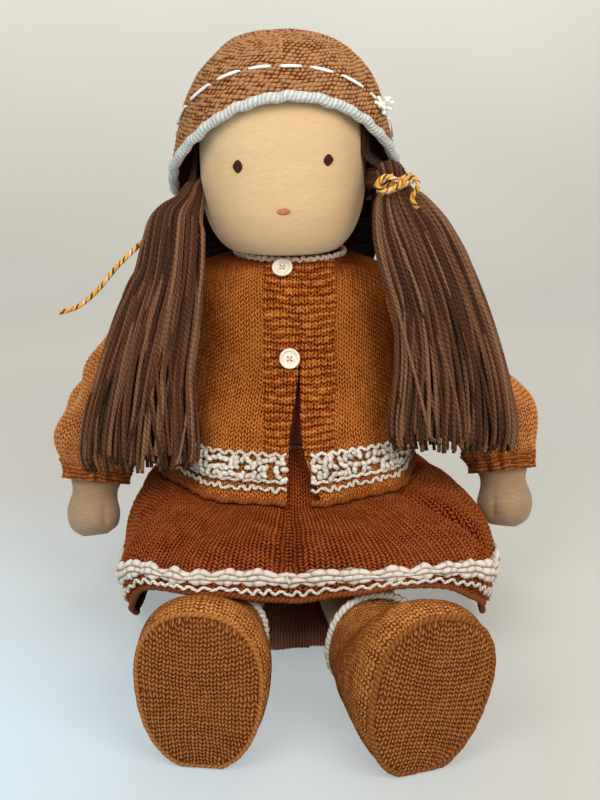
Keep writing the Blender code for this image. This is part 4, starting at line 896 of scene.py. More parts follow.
crochet_stitch, crochet_row, crochet_relief = 0.0030, 0.0024, 0.0010
hat_columns, hat_rows = 780, 250
angles = np.linspace(0, math.tau, hat_columns, endpoint=False)
edge = rim_place(angles, 0, -0.0030)
profile_z = np.r_[np.linspace(edge[:, 2].min() - 0.002, crown_line[0, 1], 200)[:-1], crown_line[:, 1]]
profile_r = np.r_[np.full(199, hat_radius), crown_line[:, 0]]
run = lengths(np.stack([profile_r, profile_z], -1), 0)
edge_run = np.interp(edge[:, 2], profile_z, run)
at = edge_run + (run[-1] - 0.0002 - edge_run) * np.linspace(0, 1, hat_rows)[:, None]
z, r = np.interp(at, run, profile_z), np.interp(at, run, profile_r)
points = np.stack([hat_x + r * np.sin(angles), hat_y - r * np.cos(angles), z], -1)
soft = 0.0007 * np.sin(angles * 3 + 1) * np.sin(at * 60) + 0.0006 * np.sin(angles * 7 - at * 90)
v = (run[-1] - at) / crochet_row
round_radius = np.interp(run[-1] - (np.floor(v) + 0.5) * crochet_row, run, profile_r)
u = angles / math.tau * np.maximum(np.round(math.tau * round_radius / crochet_stitch), 5)
hat = cloth("hat_crochet", points, crochet, u, v, crochet_relief, hat_wool, ring=True,
            shape=soft - crochet_relief)
put(hat, "hat", "hat")
wall = 0.0022  # how far the hat's inside lies behind its outside
lining = grid("hat_inside", points - normals_of(points, True) * wall, hat_wool, ring=True,
              fields={"stitch": 0.4 + 0 * at, "tone": 0 * at})
put(lining, "hat")
print("hat top z:", round(float(points[..., 2].max()), 4))

# %% [markdown]
# ## Hat's rim and ribbon
# The rim is a thick white crocheted roll. Above it a satin ribbon is woven in
# and out of the stitches, seventeen times round, so it shows as short dashes.
# The ribbon is one strip whose distance from the hat rises and falls, and its
# knot on the right is a tuft of short ends.

# %% Hat rim, woven ribbon and its knot
loop = np.linspace(0, math.tau, 900)
out, up = -0.0011 + 0.0003 * np.sin(loop * 37), -0.0047 + 0.0004 * np.sin(loop * 23)
rim = curve(rim_place(loop, out, up), step=0.0005)
edging = tubes("hat_edging_crochet", [rim], 0.0027, rim_yarn, 20, twist=(6, 0.0150, 0.07))
put(edging, "hat", "hat_edging")
weave = np.cos(17 * (loop - math.radians(-5.3)))
offset = 0.0010 - 0.0036 * np.clip((weave - 0.60) * 4, 0, 1)
half = 0.0003 + 0.0010 * np.clip((0.72 - weave) * 1.1, 0, 1) ** 0.7
rise = 0.0188 + 0.0075 * np.clip(-np.sin(loop), 0, 1)
strip = [rim_place(loop, offset + 0.0005 * (1 - k * k), rise + half * k) for k in np.linspace(-1, 1, 7)]
inward = unit(np.array((hat_x, hat_y, 0.27)) - strip[0]) * 0.0006
ribbon = grid("hat_ribbon_satin", np.array([strip[0] + inward, *strip, strip[-1] + inward]), satin)
put(ribbon, "hat", "hat_ribbon")
spot = rim_place(np.array([math.radians(65)]), 0.004, 0.0120)[0]
out = unit(spot - np.array((hat_x, hat_y, spot[2])))
ends = []
for i in range(14):
    tilt = unit(out * 0.5 + rng.normal(0, 0.8, 3))
    end = spot + tilt * rng.uniform(0.004, 0.0062)
    ends.append(curve([spot - out * 0.003, spot + tilt * 0.002, end], count=8))
knot = tubes("hat_ribbon_knot_tuft", ends, 0.0010, satin, 8)
put(knot, "hat", "hat_ribbon_knot")
print("rim and ribbon length mm:", round(float(lengths(rim, 0)[-1]) * 1000))

# %% [markdown]
# ## Cardigan
# Stockinette fronts and back that hang from the shoulders and flare at the hem.
# Cloth simulation would settle them differently in each run, so the form is a
# table of ovals by height, with ruffles that grow towards the hem. The knitting
# runs over it in columns of 3.1 mm and rows of 2.5 mm.


# %% Cardigan surface
def sag(share, theta):
    """Soft ruffles that grow towards the hem, and shallow creases above them."""
    ruffle = 0.0020 * np.sin(theta * 8 + share * 3) * np.clip((0.45 - share) / 0.45, 0, 1) ** 1.2
    crease = 0.0010 * np.sin(theta * 3.3 + share * 11) * np.sin(math.pi * np.clip(share, 0, 1))
    return ruffle + crease


def on_cardigan(share, theta, grown):
    """Places on the cardigan's outside at height shares and angles, grown by an amount."""
    share, theta = np.broadcast_arrays(np.asarray(share, float), np.asarray(theta, float))
    width, depth, lean = read_table(cardigan_shares, share)
    grown = grown + sag(share, theta)
    x = (hem_width * width + grown) * np.cos(theta)
    y = lean_y * lean + (hem_depth * depth + grown) * np.sin(theta)
    return np.stack([x, y, hem_z + (neck_z - hem_z) * share], -1)


def cardigan_theta(share, x):
    """The angle on the front where the surface has a given x."""
    width = read_table(cardigan_shares, share)[0] * hem_width
    return -np.arccos(np.clip(x / width, -0.999, 0.999))


def seam_angle(share):
    """The side seam's angle above level."""
    _, depth, lean = read_table(cardigan_shares, share)
    return np.arcsin(np.clip((seam_y - lean_y * lean) / (hem_depth * depth), -1, 1))


def near_arms(points, grown):
    """Which places lie inside a shoulder and its sleeve."""
    inside = np.zeros(points.shape[:-1], bool)
    for path in (arm_left, arm_right):
        line = curve(path[:3], count=30)
        away = np.linalg.norm(points[..., None, :] - line[:, :3], axis=-1) - line[:, 3]
        inside |= away.min(axis=-1) < grown
    return inside


def parting(z, side):
    """How far the fronts open below the lower button, on one side of the middle."""
    rows = np.array(parting_shares)
    down = np.clip((parting_top - z) / (parting_top - hem_z), 0, 1)
    return parting_width * np.interp(down, rows[:, 0], rows[:, 1 if side < 0 else 2])


knit_column, knit_row = 0.0031, 0.0025
band_foot = 0.0955  # the height where the button bands end
share = np.linspace(0, 1, 400)[:, None]
level = hem_z + (neck_z - hem_z) * share
angle = seam_angle(share)
for name, start, stop, columns in (
        ("cardigan_front_left", -math.pi - angle, cardigan_theta(share, 0.0056 + parting(level, -1)), 250),
        ("cardigan_front_right", cardigan_theta(share, 0.0062 + parting(level, 1)), angle, 230),
        ("cardigan_back", angle, math.pi - angle, 400)):
    theta = start + (stop - start) * np.linspace(0, 1, columns)
    points = on_cardigan(share, theta, -0.0006 + 0.0022 * np.abs(np.cos(theta)) ** 4)
    u, v = lengths(points, 1) / knit_column, lengths(points, 0) / knit_row
    if name.endswith("left"):
        u = u[:, -1:] - u
    x, y, z = np.moveaxis(points, -1, 0)
    hidden = near_arms(points, -0.0012) | ((z > band_foot) & (y < 0) & (x > -0.0128) & (x < 0.0238))
    relief = 0.0012 if name.endswith("back") else 0.0014
    panel = cloth(name + "_stockinette", points, knit, u, v, relief, cardigan_wool, flip=True, drop=hidden)
    put(panel, "torso", name)
    flat = (float(lengths(points, 1)[:, -1].mean()), float(lengths(points, 0)[-1].mean()))
print("cardigan panels done")

# %% [markdown]
# ## Button bands
# Two narrow strips of garter stitch down the front, the left one on top. They
# follow the cardigan's own surface, raised by the thickness of the fold, and
# part below the lower button as the fronts do.

# %% Button bands, garter stitch
garter_stitch, garter_ridge = 0.0044, 0.0046
z = np.linspace(band_foot - 0.0005, neck_z - 0.0003, 330)[:, None]
across = np.linspace(0, 1, 70)
for name, left, right in (("button_band_left", -0.0146, 0.0057), ("button_band_right", 0.0061, 0.0257)):
    start = left + (parting(z, 1) if name.endswith("right") else 0 * z)
    stop = right + (parting(z, -1) if name.endswith("left") else 0 * z)
    x = start + (stop - start) * across
    share = (z - hem_z) / (neck_z - hem_z) + 0 * x
    crown = -0.0004 + 0.0008 * np.sin(math.pi * across) ** 0.5 - 0.0010 * np.abs(2 * across - 1) ** 8
    points = on_cardigan(share, cardigan_theta(share, x), crown)
    u, v = x / garter_stitch, lengths(points, 0) / garter_ridge
    band = cloth(name + "_garter", points, garter, u, v, 0.0010, cardigan_wool)
    put(band, "torso", name)
    flat = (0.0202, float(lengths(points, 0)[-1].mean()))
    print(name, "length mm:", round(flat[1] * 1000))

# %% [markdown]
# ## Neck edge, lace and zigzag
# The white lace above the hem is crocheted loops, loose enough to stand up like
# popcorn, between two straight chains, with a thin zigzag chain below it. Each
# loop is a short bent yarn at a random lean, because real loops never line up.


# %% Neck edge, lace and zigzag chain
def trim(name, node, paths, radius, material, sides=10, twist=(2, 0.0034, 0.18)):
    """A crocheted trim on the cardigan, made of twisted yarn."""
    piece = tubes(name, paths, radius, material, sides, twist)
    return put(piece, "torso", node)


def along_hem(rise, theta, lift, swell):
    """A yarn that follows the cardigan at a height share, with its thickness."""
    line = curve(on_cardigan(rise, theta, lift), step=0.0007)
    return np.column_stack([line, np.full(len(line), swell)])


turn = np.linspace(-math.pi * 1.5, math.pi * 0.5, 300)
wave = 0.0006 * np.sin(turn * 46)
neck = on_cardigan(1.0, turn, -0.0010) + np.stack([0 * wave, 0 * wave, 0.0008 + 1.3 * wave], -1)
trim("neck_edging_crochet", "neck_edging", [curve(neck, step=0.0006)], 0.0012, neck_yarn)
lace_radius = 0.00108
left_stop = float(cardigan_theta(0.13, 0.0052 + parting(0.0897, -1)))
right_start = float(cardigan_theta(0.13, 0.0066 + parting(0.0897, 1)))
for name, start, stop in (("left", -math.pi - 0.10, left_stop), ("right", right_start, 0.10),
                          ("back", 0.12, math.pi - 0.12)):
    span = abs(stop - start) * 0.064
    count = max(int(span / 0.0056), 4)
    half = (stop - start) / count / 2
    paths = []
    k = np.linspace(-1, 1, 5)
    for i in range(count * 2):
        at = start + half * (i + 0.5)
        for row in (0.108, 0.137, 0.166):
            if rng.uniform() < 0.10:
                continue
            lean = rng.uniform(0, math.pi)
            bend = 0.5 * k * math.cos(lean) + 0.3 * (k * k - 0.5) * math.sin(lean)
            theta = at + half * (bend + rng.normal(0, 0.12))
            rise = row + 0.014 * k * math.sin(lean) + rng.normal(0, 0.004)
            lift = 0.0014 - 0.0008 * k * k + rng.uniform(-0.0004, 0.0008)
            swell = 1.38 - 0.35 * k * k + rng.uniform(-0.1, 0.15)
            paths.append(curve(np.column_stack([on_cardigan(rise, theta, lift), swell]), count=9))
    steps = np.linspace(0, math.tau * count, count * 12)
    ends = np.linspace(start, stop, count * 12)
    paths.append(along_hem(0.088 + 0.003 * np.cos(steps), ends, 0.0010, 0.85))
    paths.append(along_hem(0.190 + 0.006 * np.cos(steps + 0.5 * np.sin(ends * 31)), ends, 0.0010, 0.90))
    jag = 1.15 * steps + 1.1 * np.sin(ends * 17) + 0.7 * np.sin(ends * 41)
    for shift, swell in ((0.0, 0.56), (0.9, 0.46)):
        high = 0.0080 * np.sin(jag + shift) * (1 + 0.4 * np.sin(ends * 29))
        high = 0.058 + high + 0.003 * np.sin(ends * 23)
        paths.append(along_hem(high, ends, 0.0008, swell))
    trim("lace_" + name + "_crochet", "lace_" + name, paths, lace_radius, white_yarn, 8, (2, 0.0028, 0.15))
    roll = on_cardigan(0.006 + 0.003 * np.sin(ends * 40), ends, -0.0003)
    trim("hem_" + name + "_roll", None, [curve(roll, step=0.0007)], 0.0018, brown_yarn, 10,
         (4, 0.0100, 0.07))
    print("lace", name, "yarns:", len(paths))

# %% [markdown]
# ## Buttons
# Two pearly buttons of 11 mm, sewn on with a cross of pale thread. They are
# round, so a profile of rim and dish is turned about the button's own axis,
# which is read from the solid. The holes are four spots of painted shade under
# the thread.

# %% Buttons, turned with a rim and four holes
button_profile = (
    (0.02, 0.25), (1.5, 0.25), (3.4, 0.30), (3.9, 0.55), (4.4, 0.95), (5.0, 1.15), (5.5, 0.9),
    (5.7, 0.2), (5.4, -0.7), (4.4, -1.2), (0.1, -1.2))
hole_place = 0.00095  # across and up from the button's middle
for name in ("button_upper", "button_lower"):
    low, high = (np.array(c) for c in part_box(name))
    middle = (low + high) / 2
    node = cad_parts[name]
    vertices = np.empty(len(node.data.vertices) * 3)
    node.data.vertices.foreach_get("co", vertices)
    vertices = vertices.reshape(-1, 3)
    flat = np.linalg.svd(vertices - vertices.mean(axis=0), full_matrices=False)[2]
    normal = flat[2] * -np.sign(flat[2][1])
    side = unit(np.cross(normal, (0, 0, 1)))
    over = np.cross(side, normal)
    profile = curve([(a / 1000, b / 1000, 0) for a, b in button_profile], count=44)
    turn = np.linspace(0, math.tau, 72, endpoint=False)
    dish = side * np.cos(turn)[:, None] + over * np.sin(turn)[:, None]
    body = middle + profile[:, 0][:, None, None] * dish + profile[:, 1][:, None, None] * normal
    put(grid(name + "_turned", body, pearl, ring=True), "torso", name)
    holes = []
    for a, b in ((-1, -1), (1, 1), (-1, 1), (1, -1)):
        spot = middle + (side * a + over * b) * hole_place + normal * 0.00012
        holes.append([spot, spot + normal * 0.00026])
    sewn = [middle + (side * a + over * b) * hole_place * k + normal * (0.0006 - 0.00025 * abs(k))
            for a, b in ((1, 1), (1, -1)) for k in (-1, -0.5, 0, 0.5, 1)]
    # Painted shade: short dark tubes stand for the holes' depth.
    hole_shade_tubes = tubes(name + "_holes", [np.array(h) for h in holes], 0.00050, eye_thread, 10)
    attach(hole_shade_tubes, "torso")
    crossed = [curve(sewn[:5], count=8), curve(sewn[5:], count=8)]
    thread = tubes(name + "_thread", crossed, 0.0003, neck_yarn, 6)
    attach(thread, "torso")
print("button profile points:", len(profile))

# %% [markdown]
# ## Skirt
# It hangs from the bodice over both thighs, in a bell with soft creases that the
# legs press into it. Each place on it lies on a smooth bend from the waist over
# the knee to the hem. It is made in two halves, which meet in the middle.


# %% Skirt surface
skirt_creases = (
    (0.0, 0.0150, 0.00008), (0.155, 0.0140, 0.00012), (0.08, 0.0025, 0.0003), (-0.07, 0.003, 0.0002),
    (-0.15, 0.0035, 0.0002), (0.30, 0.004, 0.0004), (-0.32, 0.004, 0.0004), (0.47, 0.004, 0.0005))
knee_z = 0.072  # the height where the skirt bends over the thighs


def hem_at(share):
    """The hem at shares of the way round, from the front by +X."""
    rows = np.array(hem_shares)
    place = (share % 1) * len(rows)
    i = place.astype(int) % len(rows)
    f = (place - place.astype(int))[..., None]
    a, b, c, d = (rows[(i + k) % len(rows)] for k in (-1, 0, 1, 2))
    p = b + 0.5 * f * (c - a + f * (2 * a - 5 * b + 4 * c - d + f * (3 * (b - c) + d - a)))
    reach = np.where(p[..., 1] < 0, 0.136, 0.082)
    return np.stack([0.101 * p[..., 0], reach * p[..., 1], 0.060 * np.maximum(p[..., 2], 0.025)], -1)


def skirt_at(step, share, grown=0.0):
    """The skirt's outside at steps from the waist (0) to the hem (8) and shares of the way round."""
    step, share = np.broadcast_arrays(np.asarray(step, float), np.asarray(share, float))
    angle = math.tau * share
    c, s = -np.cos(angle), np.sin(angle)
    width, depth, lean = read_table(torso_shares, 0.0965 / 0.189)
    top = np.stack([(0.049 * width + 0.0043) * s, lean_y * lean + (0.032 * depth + 0.0043) * c,
                    0.0965 + 0 * s], -1)
    _, width, depth, lean = cardigan_shares[0]
    out = np.stack([(hem_width * width - 0.0038) * s, lean_y * lean + (hem_depth * depth - 0.0038) * c,
                    knee_z + 0 * s], -1)
    part = np.clip((step - 2) / 6, 0, 1)[..., None]
    foot = hem_at(share)
    bend = np.stack([foot[..., 0] * 1.2, foot[..., 1], knee_z + 0 * s], -1)
    place = out * (1 - part) ** 2 + bend * 2 * part * (1 - part) + foot * part ** 2
    outward = unit(foot * np.array((1, 1, 0)))
    wave = 0.0016 * np.cos(angle * 13) * np.sin(math.pi * part[..., 0] * 0.8)
    bow = np.sin(math.pi * part[..., 0])
    upper = np.clip((0.74 - part[..., 0]) / 0.22, 0, 1)
    crease = np.zeros_like(wave)
    for at, deep, width in skirt_creases:
        away = (share - at + 0.5 - 0.04 * part[..., 0] * np.sign(at)) % 1 - 0.5
        crease = crease + deep * np.exp(-away ** 2 / width)
    crease = crease * upper
    place = place + np.array((0, 0, -1)) * (crease * bow ** 0.7 * 0.7)[..., None]
    place = place + outward * (wave - crease * bow ** 0.8 * 0.5 + grown)[..., None]
    high = top + (out - top) * np.clip(step / 2, 0, 1)[..., None]
    return np.where(step[..., None] < 2, high, place)


def with_leg(piece):
    """Bake a piece of the skirt's placement into its points."""
    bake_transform(piece)


rows, columns = 340, 560
skirt_columns, skirt_row = 142, 0.0026  # stitches all the way round, and the height of one row
for side, start in (("right", 0.0), ("left", 0.5)):
    step = 8 * np.linspace(0.02, 1, rows)[:, None]
    share = start + np.linspace(0, 0.5, columns)
    points = skirt_at(step, share, -0.0008)
    run = lengths(points, 0)
    u, v = share * skirt_columns + 0 * step, (run[-1] - run) / skirt_row
    half = cloth("skirt_" + side + "_stockinette", points, knit, u, v, 0.0013, skirt_wool, flip=True)
    with_leg(half)
    if side == "right":
        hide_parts("skirt")
    flat = (float(lengths(points, 1)[:, -1].max()), float(run[-1].max()))
    print(side, "skirt length mm:", [round(float(end) * 1000) for end in (run[-1].min(), run[-1].max())])

# %% [markdown]
# ## Skirt's trims
# Above the hem runs a raised band of white purl bumps, then a thin zigzag yarn,
# and the hem itself is a brown roll. All three are laid on the skirt's own
# surface at their height, with an uneven edge as hand knitting has.

# %% Skirt's white band, zigzag and hem
band_top, band_middle, band_low = 6.05, 6.48, 6.88  # steps from the waist (0) to the hem (8)
band_columns = 124  # stitches all the way round
for side, start in (("right", 0.0), ("left", 0.5)):
    step = np.linspace(band_top, band_low, 60)[:, None]
    share = start + np.linspace(0, 0.5, 700)
    edge = 0.05 * np.sin(share * math.tau * 46) + 0.03 * np.sin(share * math.tau * 71)
    step = band_middle + (step - band_middle) * (1 + edge)
    puff = np.sin(math.pi * np.linspace(0, 1, 60))[:, None] ** 0.5
    points = skirt_at(step, share, 0.0002 + 0.0016 * puff)
    v = np.linspace(0.05, 2.45, 60)[:, None] + 0.12 * np.sin(share * 290) + 0.12 * np.sin(share * 97)
    puffs = 0.0008 * np.cos(share * math.tau * 46 + np.sin(share * 60))
    band = cloth("skirt_band_" + side + "_garter", points, ribbed, share * band_columns + 0 * step, v,
                 0.0019, white_wool, flip=True, shape=puffs)
    with_leg(band)
    if side == "right":
        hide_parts("skirt_band")
    share = start + np.linspace(0, 0.5, 1600)
    jag = share * 104 + 0.25 * np.sin(share * 90)
    sway = 0.13 * np.sin(math.tau * jag) * (1 + 0.3 * np.sin(share * 130))
    zig = skirt_at(7.42 + sway + 0.05 * np.sin(share * 170), share, 0.0011)
    zigzag = tubes("skirt_zigzag_" + side, [curve(zig, step=0.0007)], 0.00080, white_yarn, 8,
                   (2, 0.003, 0.12))
    with_leg(zigzag)
    hem = skirt_at(7.97 + 0.04 * np.sin(share * 150), share, -0.0002)
    rolled = tubes("skirt_hem_" + side, [curve(hem, step=0.0007)], 0.0016, brown_yarn, 10,
                   (3, 0.0060, 0.09))
    with_leg(rolled)
    print(side, "band and zigzag faces:", len(band.data.polygons), len(zigzag.data.polygons))

# %% [markdown]
# ## The skirt's back part
# The doll sits on it, and it shows as a dark piece of knitting between the
# booties. Two flat sheets on the floor, one for each leg, overlap in the middle
# so that no gap is seen.

# %% The skirt's back part under the thighs
for side, low, high, rest in (("left", -0.050, 0.0110, 0.0006), ("right", 0.0050, 0.060, 0.0018)):
    x, y = np.linspace(low, high, 150), np.linspace(-0.0935, -0.028, 170)[:, None]
    z = rest + 0.0004 * np.sin(x * 160 + y * 90) ** 2
    points = np.stack([x + 0 * y, y + 0.0012 * np.sin(x * 140), z + 0 * y], -1)
    u, v = x / 0.0034 + 0 * y, y / 0.0024 + 0 * x
    # The back part's wool is painted lighter as painted light, against its deep shade.
    under = cloth("skirt_under_" + side, points, knit, u, v, 0.0009, painted_light_under_wool)
    with_leg(under)
    print(side, "back part's width mm:", round((high - low) * 1000, 1))

# %% [markdown]
# ## Torso, legs and dress top
# These are hidden by the clothes until a bootie or the hat comes off, and keep
# the solids' own form, remeshed and smoothed.


# %% Smooth copies of hidden solids
def smooth_copy(node, name, material, voxel):
    """A remeshed, smoothed copy of a solid."""
    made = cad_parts[node].copy()
    made.data = made.data.copy()
    made.name = name
    for key in [k for k in made.keys() if k.startswith("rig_")]:
        del made[key]
    made.parent = None
    made.hide_render = False
    scene.collection.objects.link(made)
    made.data.materials.clear()
    made.data.materials.append(material)
    remesh = made.modifiers.new("remesh", "REMESH")
    remesh.mode = "VOXEL"
    remesh.voxel_size = voxel
    remesh.use_smooth_shade = True
    smooth = made.modifiers.new("smooth", "SMOOTH")
    smooth.iterations = 4
    graph = bpy.context.evaluated_depsgraph_get()
    mesh = bpy.data.meshes.new_from_object(made.evaluated_get(graph))
    made.modifiers.clear()
    made.data = mesh
    return made


# The bodice takes the back part's lighter wool, painted light, where it shows in the shaded gap between the
# fronts.
for node, body, material, slot in (
        ("torso", "torso", jersey, "jersey"), ("leg_left", "leg_left", jersey, "jersey"),
        ("leg_right", "leg_right", jersey, "jersey"), ("dress_bodice", "torso", painted_light_under_wool, "brown_knit")):
    copy = smooth_copy(node, node + "_soft", material, 0.0022 if node != "dress_bodice" else 0.0006)
    put(copy, body, node)
    print(node, "copy faces", len(copy.data.polygons))

# %% [markdown]
# ## Arms and sleeves
# A mitt hand with its sewn thumb, in a stockinette sleeve that is gathered into
# a garter cuff with a rolled edge. Both are round sections along the same bent
# line, so the sleeve always covers its arm. Where the knitting turns into the
# cuff, one stitch's height fades into the other's.


# %% Arms
def limb_grid(path, grown, first, last, rows, columns, behind=0.0):
    """Round sections along a limb, with the ball behind its first place."""
    line = curve(np.array(path)[first:last + 1], count=rows)
    if behind:
        back = unit(line[0, :3] - line[1, :3])
        shares = np.linspace(behind, 0.06, 12)
        ball = [np.r_[line[0, :3] + back * line[0, 3] * k, line[0, 3] * math.sqrt(1 - k * k)]
                for k in shares]
        line = np.vstack([ball, line])
    along = unit(np.gradient(line[:, :3], axis=0))
    across = unit(np.cross((0, 1, 0), along))
    up = np.cross(along, across)
    turn = np.linspace(0, math.tau, columns, endpoint=False)
    size = (line[:, 3] + grown)[:, None, None]
    ring = across[:, None] * np.cos(turn)[:, None] + up[:, None] * np.sin(turn)[:, None]
    return line[:, None, :3] + ring * size, ring, turn


sleeve_columns, sleeve_row, cuff_ridge = 44, 0.0022, 0.0026
for side, path in (("left", arm_left), ("right", arm_right)):
    points, outward, turn = limb_grid(path, 0, 0, 9, 150, 72, 0.97)
    level = points[..., 2]
    sign = 1 if side == "left" else -1
    thumb = np.array(path[7][:3]) + np.array((sign * 0.002, -path[7][3], 0.000))
    away = points - thumb
    front = away[..., 1] < 0.012
    lump = np.exp(-(away[..., 0] / 0.0045) ** 2 - (away[..., 2] / 0.0075) ** 2) * front
    groove = np.exp(-((away[..., 0] - sign * 0.0062) / 0.0011) ** 2 - (away[..., 2] / 0.0085) ** 2) * front
    points = points + outward * (0.0020 * lump - 0.0011 * groove)[..., None]
    flatten = np.clip((0.062 - level) / 0.02, 0, 1)[..., None] * np.array((0, 0.16, 0))
    centre = np.array(path[7][:3])
    points = points - (points - centre) * flatten
    # The arm's jersey is painted darker as painted shade.
    arm = grid("arm_" + side + "_skin", points, shaded_hand_jersey, ring=True)
    put(arm, "arm_" + side, "arm_" + side)

    points, outward, turn = limb_grid(path, 0.0022, 0, 5, 420, 330, 0.80)
    run = lengths(points, 0).mean(axis=1, keepdims=True)
    total = run[-1, 0]
    cuff = np.clip((run - (total - 0.011)) / 0.003, 0, 1)
    loose = np.clip((run - 0.045) / 0.05, 0, 1) * (1 - cuff)
    fold = np.sin(turn * 2 + run * 190 + 1.2 * np.sin(turn * 3)) + 0.7 * np.sin(turn * 5 - run * 130)
    fold = 0.0019 * fold * loose + 0.0022 * loose * np.exp(-((total - 0.024 - run) / 0.014) ** 2)
    gather = 0.0010 * np.sin(turn * 15 + 0.8 * np.sin(turn * 4))
    gather = gather * np.clip((run - total + 0.026) / 0.016, 0, 1)
    roll = 0.0018 * np.exp(-((total - run) / 0.0024) ** 2) + 0.0006 * cuff
    u = turn / math.tau * sleeve_columns + 0 * run
    knitted, tone = knit(u, (total - run) / sleeve_row)
    ridged, other = garter(u, run / cuff_ridge + 0.15 * np.sin(turn * 3))
    height = knitted * (1 - cuff) + ridged * cuff
    rise = 0.0011 * height + fold + gather + roll - 0.0006
    sleeve = grid("sleeve_" + side + "_knit", points + outward * rise[..., None], sleeve_wool, ring=True,
                  fields={"stitch": height, "tone": tone * (1 - cuff) + other * cuff})
    put(sleeve, "arm_" + side, "sleeve_" + side)
    print(side, "sleeve length mm:", round(float(total) * 1000))

# %% [markdown]
# ## Booties
# Knitted flat and sewn up: the soles face the camera, with their stitches
# stretched sideways into short level dashes, and a soft seam round the edge.


# %% Bootie surfaces
def foot_frame(roll, yaw):
    """Directions of an upright sole: along its height, across it, and back towards the ankle."""
    back = np.array((-math.sin(yaw), math.cos(yaw), 0))
    level = np.array((math.cos(yaw), math.sin(yaw), 0))
    lean = level * math.sin(roll) + np.array((0, 0, math.cos(roll)))
    return lean, level * math.cos(roll) - np.array((0, 0, math.sin(roll))), back


def squarish(turn, power=2.3):
    """A rounded square's cosine and sine."""
    c, s = np.cos(turn), np.sin(turn)
    return np.sign(c) * np.abs(c) ** (2 / power), np.sign(s) * np.abs(s) ** (2 / power)


bootie_columns, bootie_row = 62, 0.0024
sole_stitch, sole_row = 0.0031, 0.0020
for side, (foot, roll, yaw, hip_x) in feet.items():
    lean, flat, back = foot_frame(math.radians(roll), math.radians(yaw))
    middle = np.array((*foot, 0)) + lean * (foot_height / 2 - 0.0005)
    heel = np.array((foot[0], foot[1], 0.0235)) + back * (sole_depth + 0.0035 + 0.0145)
    homeward = unit(np.array((hip_x, -0.030, 0.027)) - heel)
    turn = np.linspace(0, math.tau, 560, endpoint=False)
    c, s = squarish(turn)
    depth = np.linspace(0, 1.13, 240)
    width, height, drop, egg = (a[:, None] for a in read_table(bootie_rings, depth))
    distance = (sole_depth + 0.0004) + (bootie_depth - sole_depth - 0.0004) * depth[:, None]
    place = (middle + back * distance[..., None]) * (1 - drop[..., None])
    place = place + (heel + homeward * (distance[..., None] - 0.021)) * drop[..., None]
    wide = foot_half_width * width * c * (1 + 0.10 * egg * s)
    points = place + flat * wide[..., None] + lean * (foot_height / 2 * height * s)[..., None]
    points[..., 2] = np.maximum(points[..., 2], 0.0009)
    u = turn / math.tau * bootie_columns + 0 * distance
    v = lengths(points, 0).mean(axis=1, keepdims=True) / bootie_row + 0 * turn
    upper = cloth("bootie_" + side + "_knit", points, flat_knit, u, v, 0.0012, bootie_wool, ring=True,
                  shape=-0.0006)
    pieces = [(upper, "bootie_" + side, "brown_knit")]

    across, up = np.linspace(-1, 1, 300), np.linspace(-1, 1, 400)[:, None]
    reach = (1 - np.abs(up) ** 2.3) ** (1 / 2.3) * 0.965
    x = foot_half_width * across * reach * (1 + 0.10 * up)
    z = foot_height / 2 * 0.965 * up + 0 * x
    bulge = 0.0030 * (1 - across ** 2) * (1 - up ** 2) - 0.0016 * np.maximum(across ** 8, up ** 8)
    points = middle - back * (bulge - 0.0004)[..., None] + flat * x[..., None] + lean * z[..., None]
    points[..., 2] = np.maximum(points[..., 2], 0.0009)
    bow = 0.0060 * across ** 2 * np.sign(up) * np.abs(up) ** 0.5
    # The sole's wool is painted darker as painted shade.
    sole = cloth("bootie_sole_" + side + "_knit", points, flat_knit, x / sole_stitch, (z - bow) / sole_row,
                 0.0013, shaded_sole_wool)
    pieces.append((sole, "bootie_sole_" + side, "brown_knit"))
    loop = np.linspace(0, math.tau, 240)
    c, s = squarish(loop)
    rim = middle + back * 0.0016 + flat * (foot_half_width * 0.985 * c * (1 + 0.10 * s))[:, None]
    rim = rim + lean * (foot_height / 2 * 0.985 * s)[:, None]
    rim[:, 2] = np.maximum(rim[:, 2], 0.0019)
    seam_radius = 0.0012 if side == "left" else 0.0015
    ridge = tubes("bootie_seam_" + side, [curve(rim, step=0.0007)], seam_radius, bootie_yarn, 12,
                  (4, 0.0090, 0.10))
    pieces.append((ridge, None, "brown_knit"))
    ankle = heel + homeward * (bootie_depth * 1.13 - 0.021 + 0.0020) + np.array((0, 0, 0.0010))
    ankle = ankle + flat * (foot_half_width * 0.81 * c)[:, None]
    ankle = ankle + lean * (foot_height / 2 * 0.61 * s)[:, None]
    cuff = tubes("bootie_trim_" + side + "_crochet", [curve(ankle, step=0.0007)], 0.0019, white_yarn, 12,
                 (3, 0.0045, 0.18))
    pieces.append((cuff, "bootie_trim_" + side, "white_wool"))
    for piece, node, slot in pieces:
        put(piece, "bootie_" + side, node)
    print(side, "bootie pieces:", len(pieces))

# %% [markdown]
# ## Floor, backdrop and light
# A pale sweep of paper, floor and backdrop in one. Its colour makes the
# background pale, with painted light and shade in it: bluish at the front left,
# lighter up the backdrop, and soft patches of painted fold shade. It glows a
# little to the camera and to glossy and transmitted rays, so that the doll gets
# no more light and its shadow stays.

# %% Stage
paper_grain = 900.0  # per metre: 1.1 mm
painted_fold_size = 3.2  # soft changes of 0.3 m
paper_glow = 0.55  # the share of a strength of 1 that the camera sees
sweep, tree = new_material("pale_paper_sweep")
place = add(tree, "ShaderNodeTexCoord", output=3)
grain = add(tree, "ShaderNodeTexNoise", {"Vector": place, "Scale": paper_grain, "Detail": 2.0})
painted_fold_noise = add(tree, "ShaderNodeTexNoise", {"Vector": place, "Scale": painted_fold_size, "Detail": 1.0})
x, y, z = add(tree, "ShaderNodeSeparateXYZ", (place,)).node.outputs
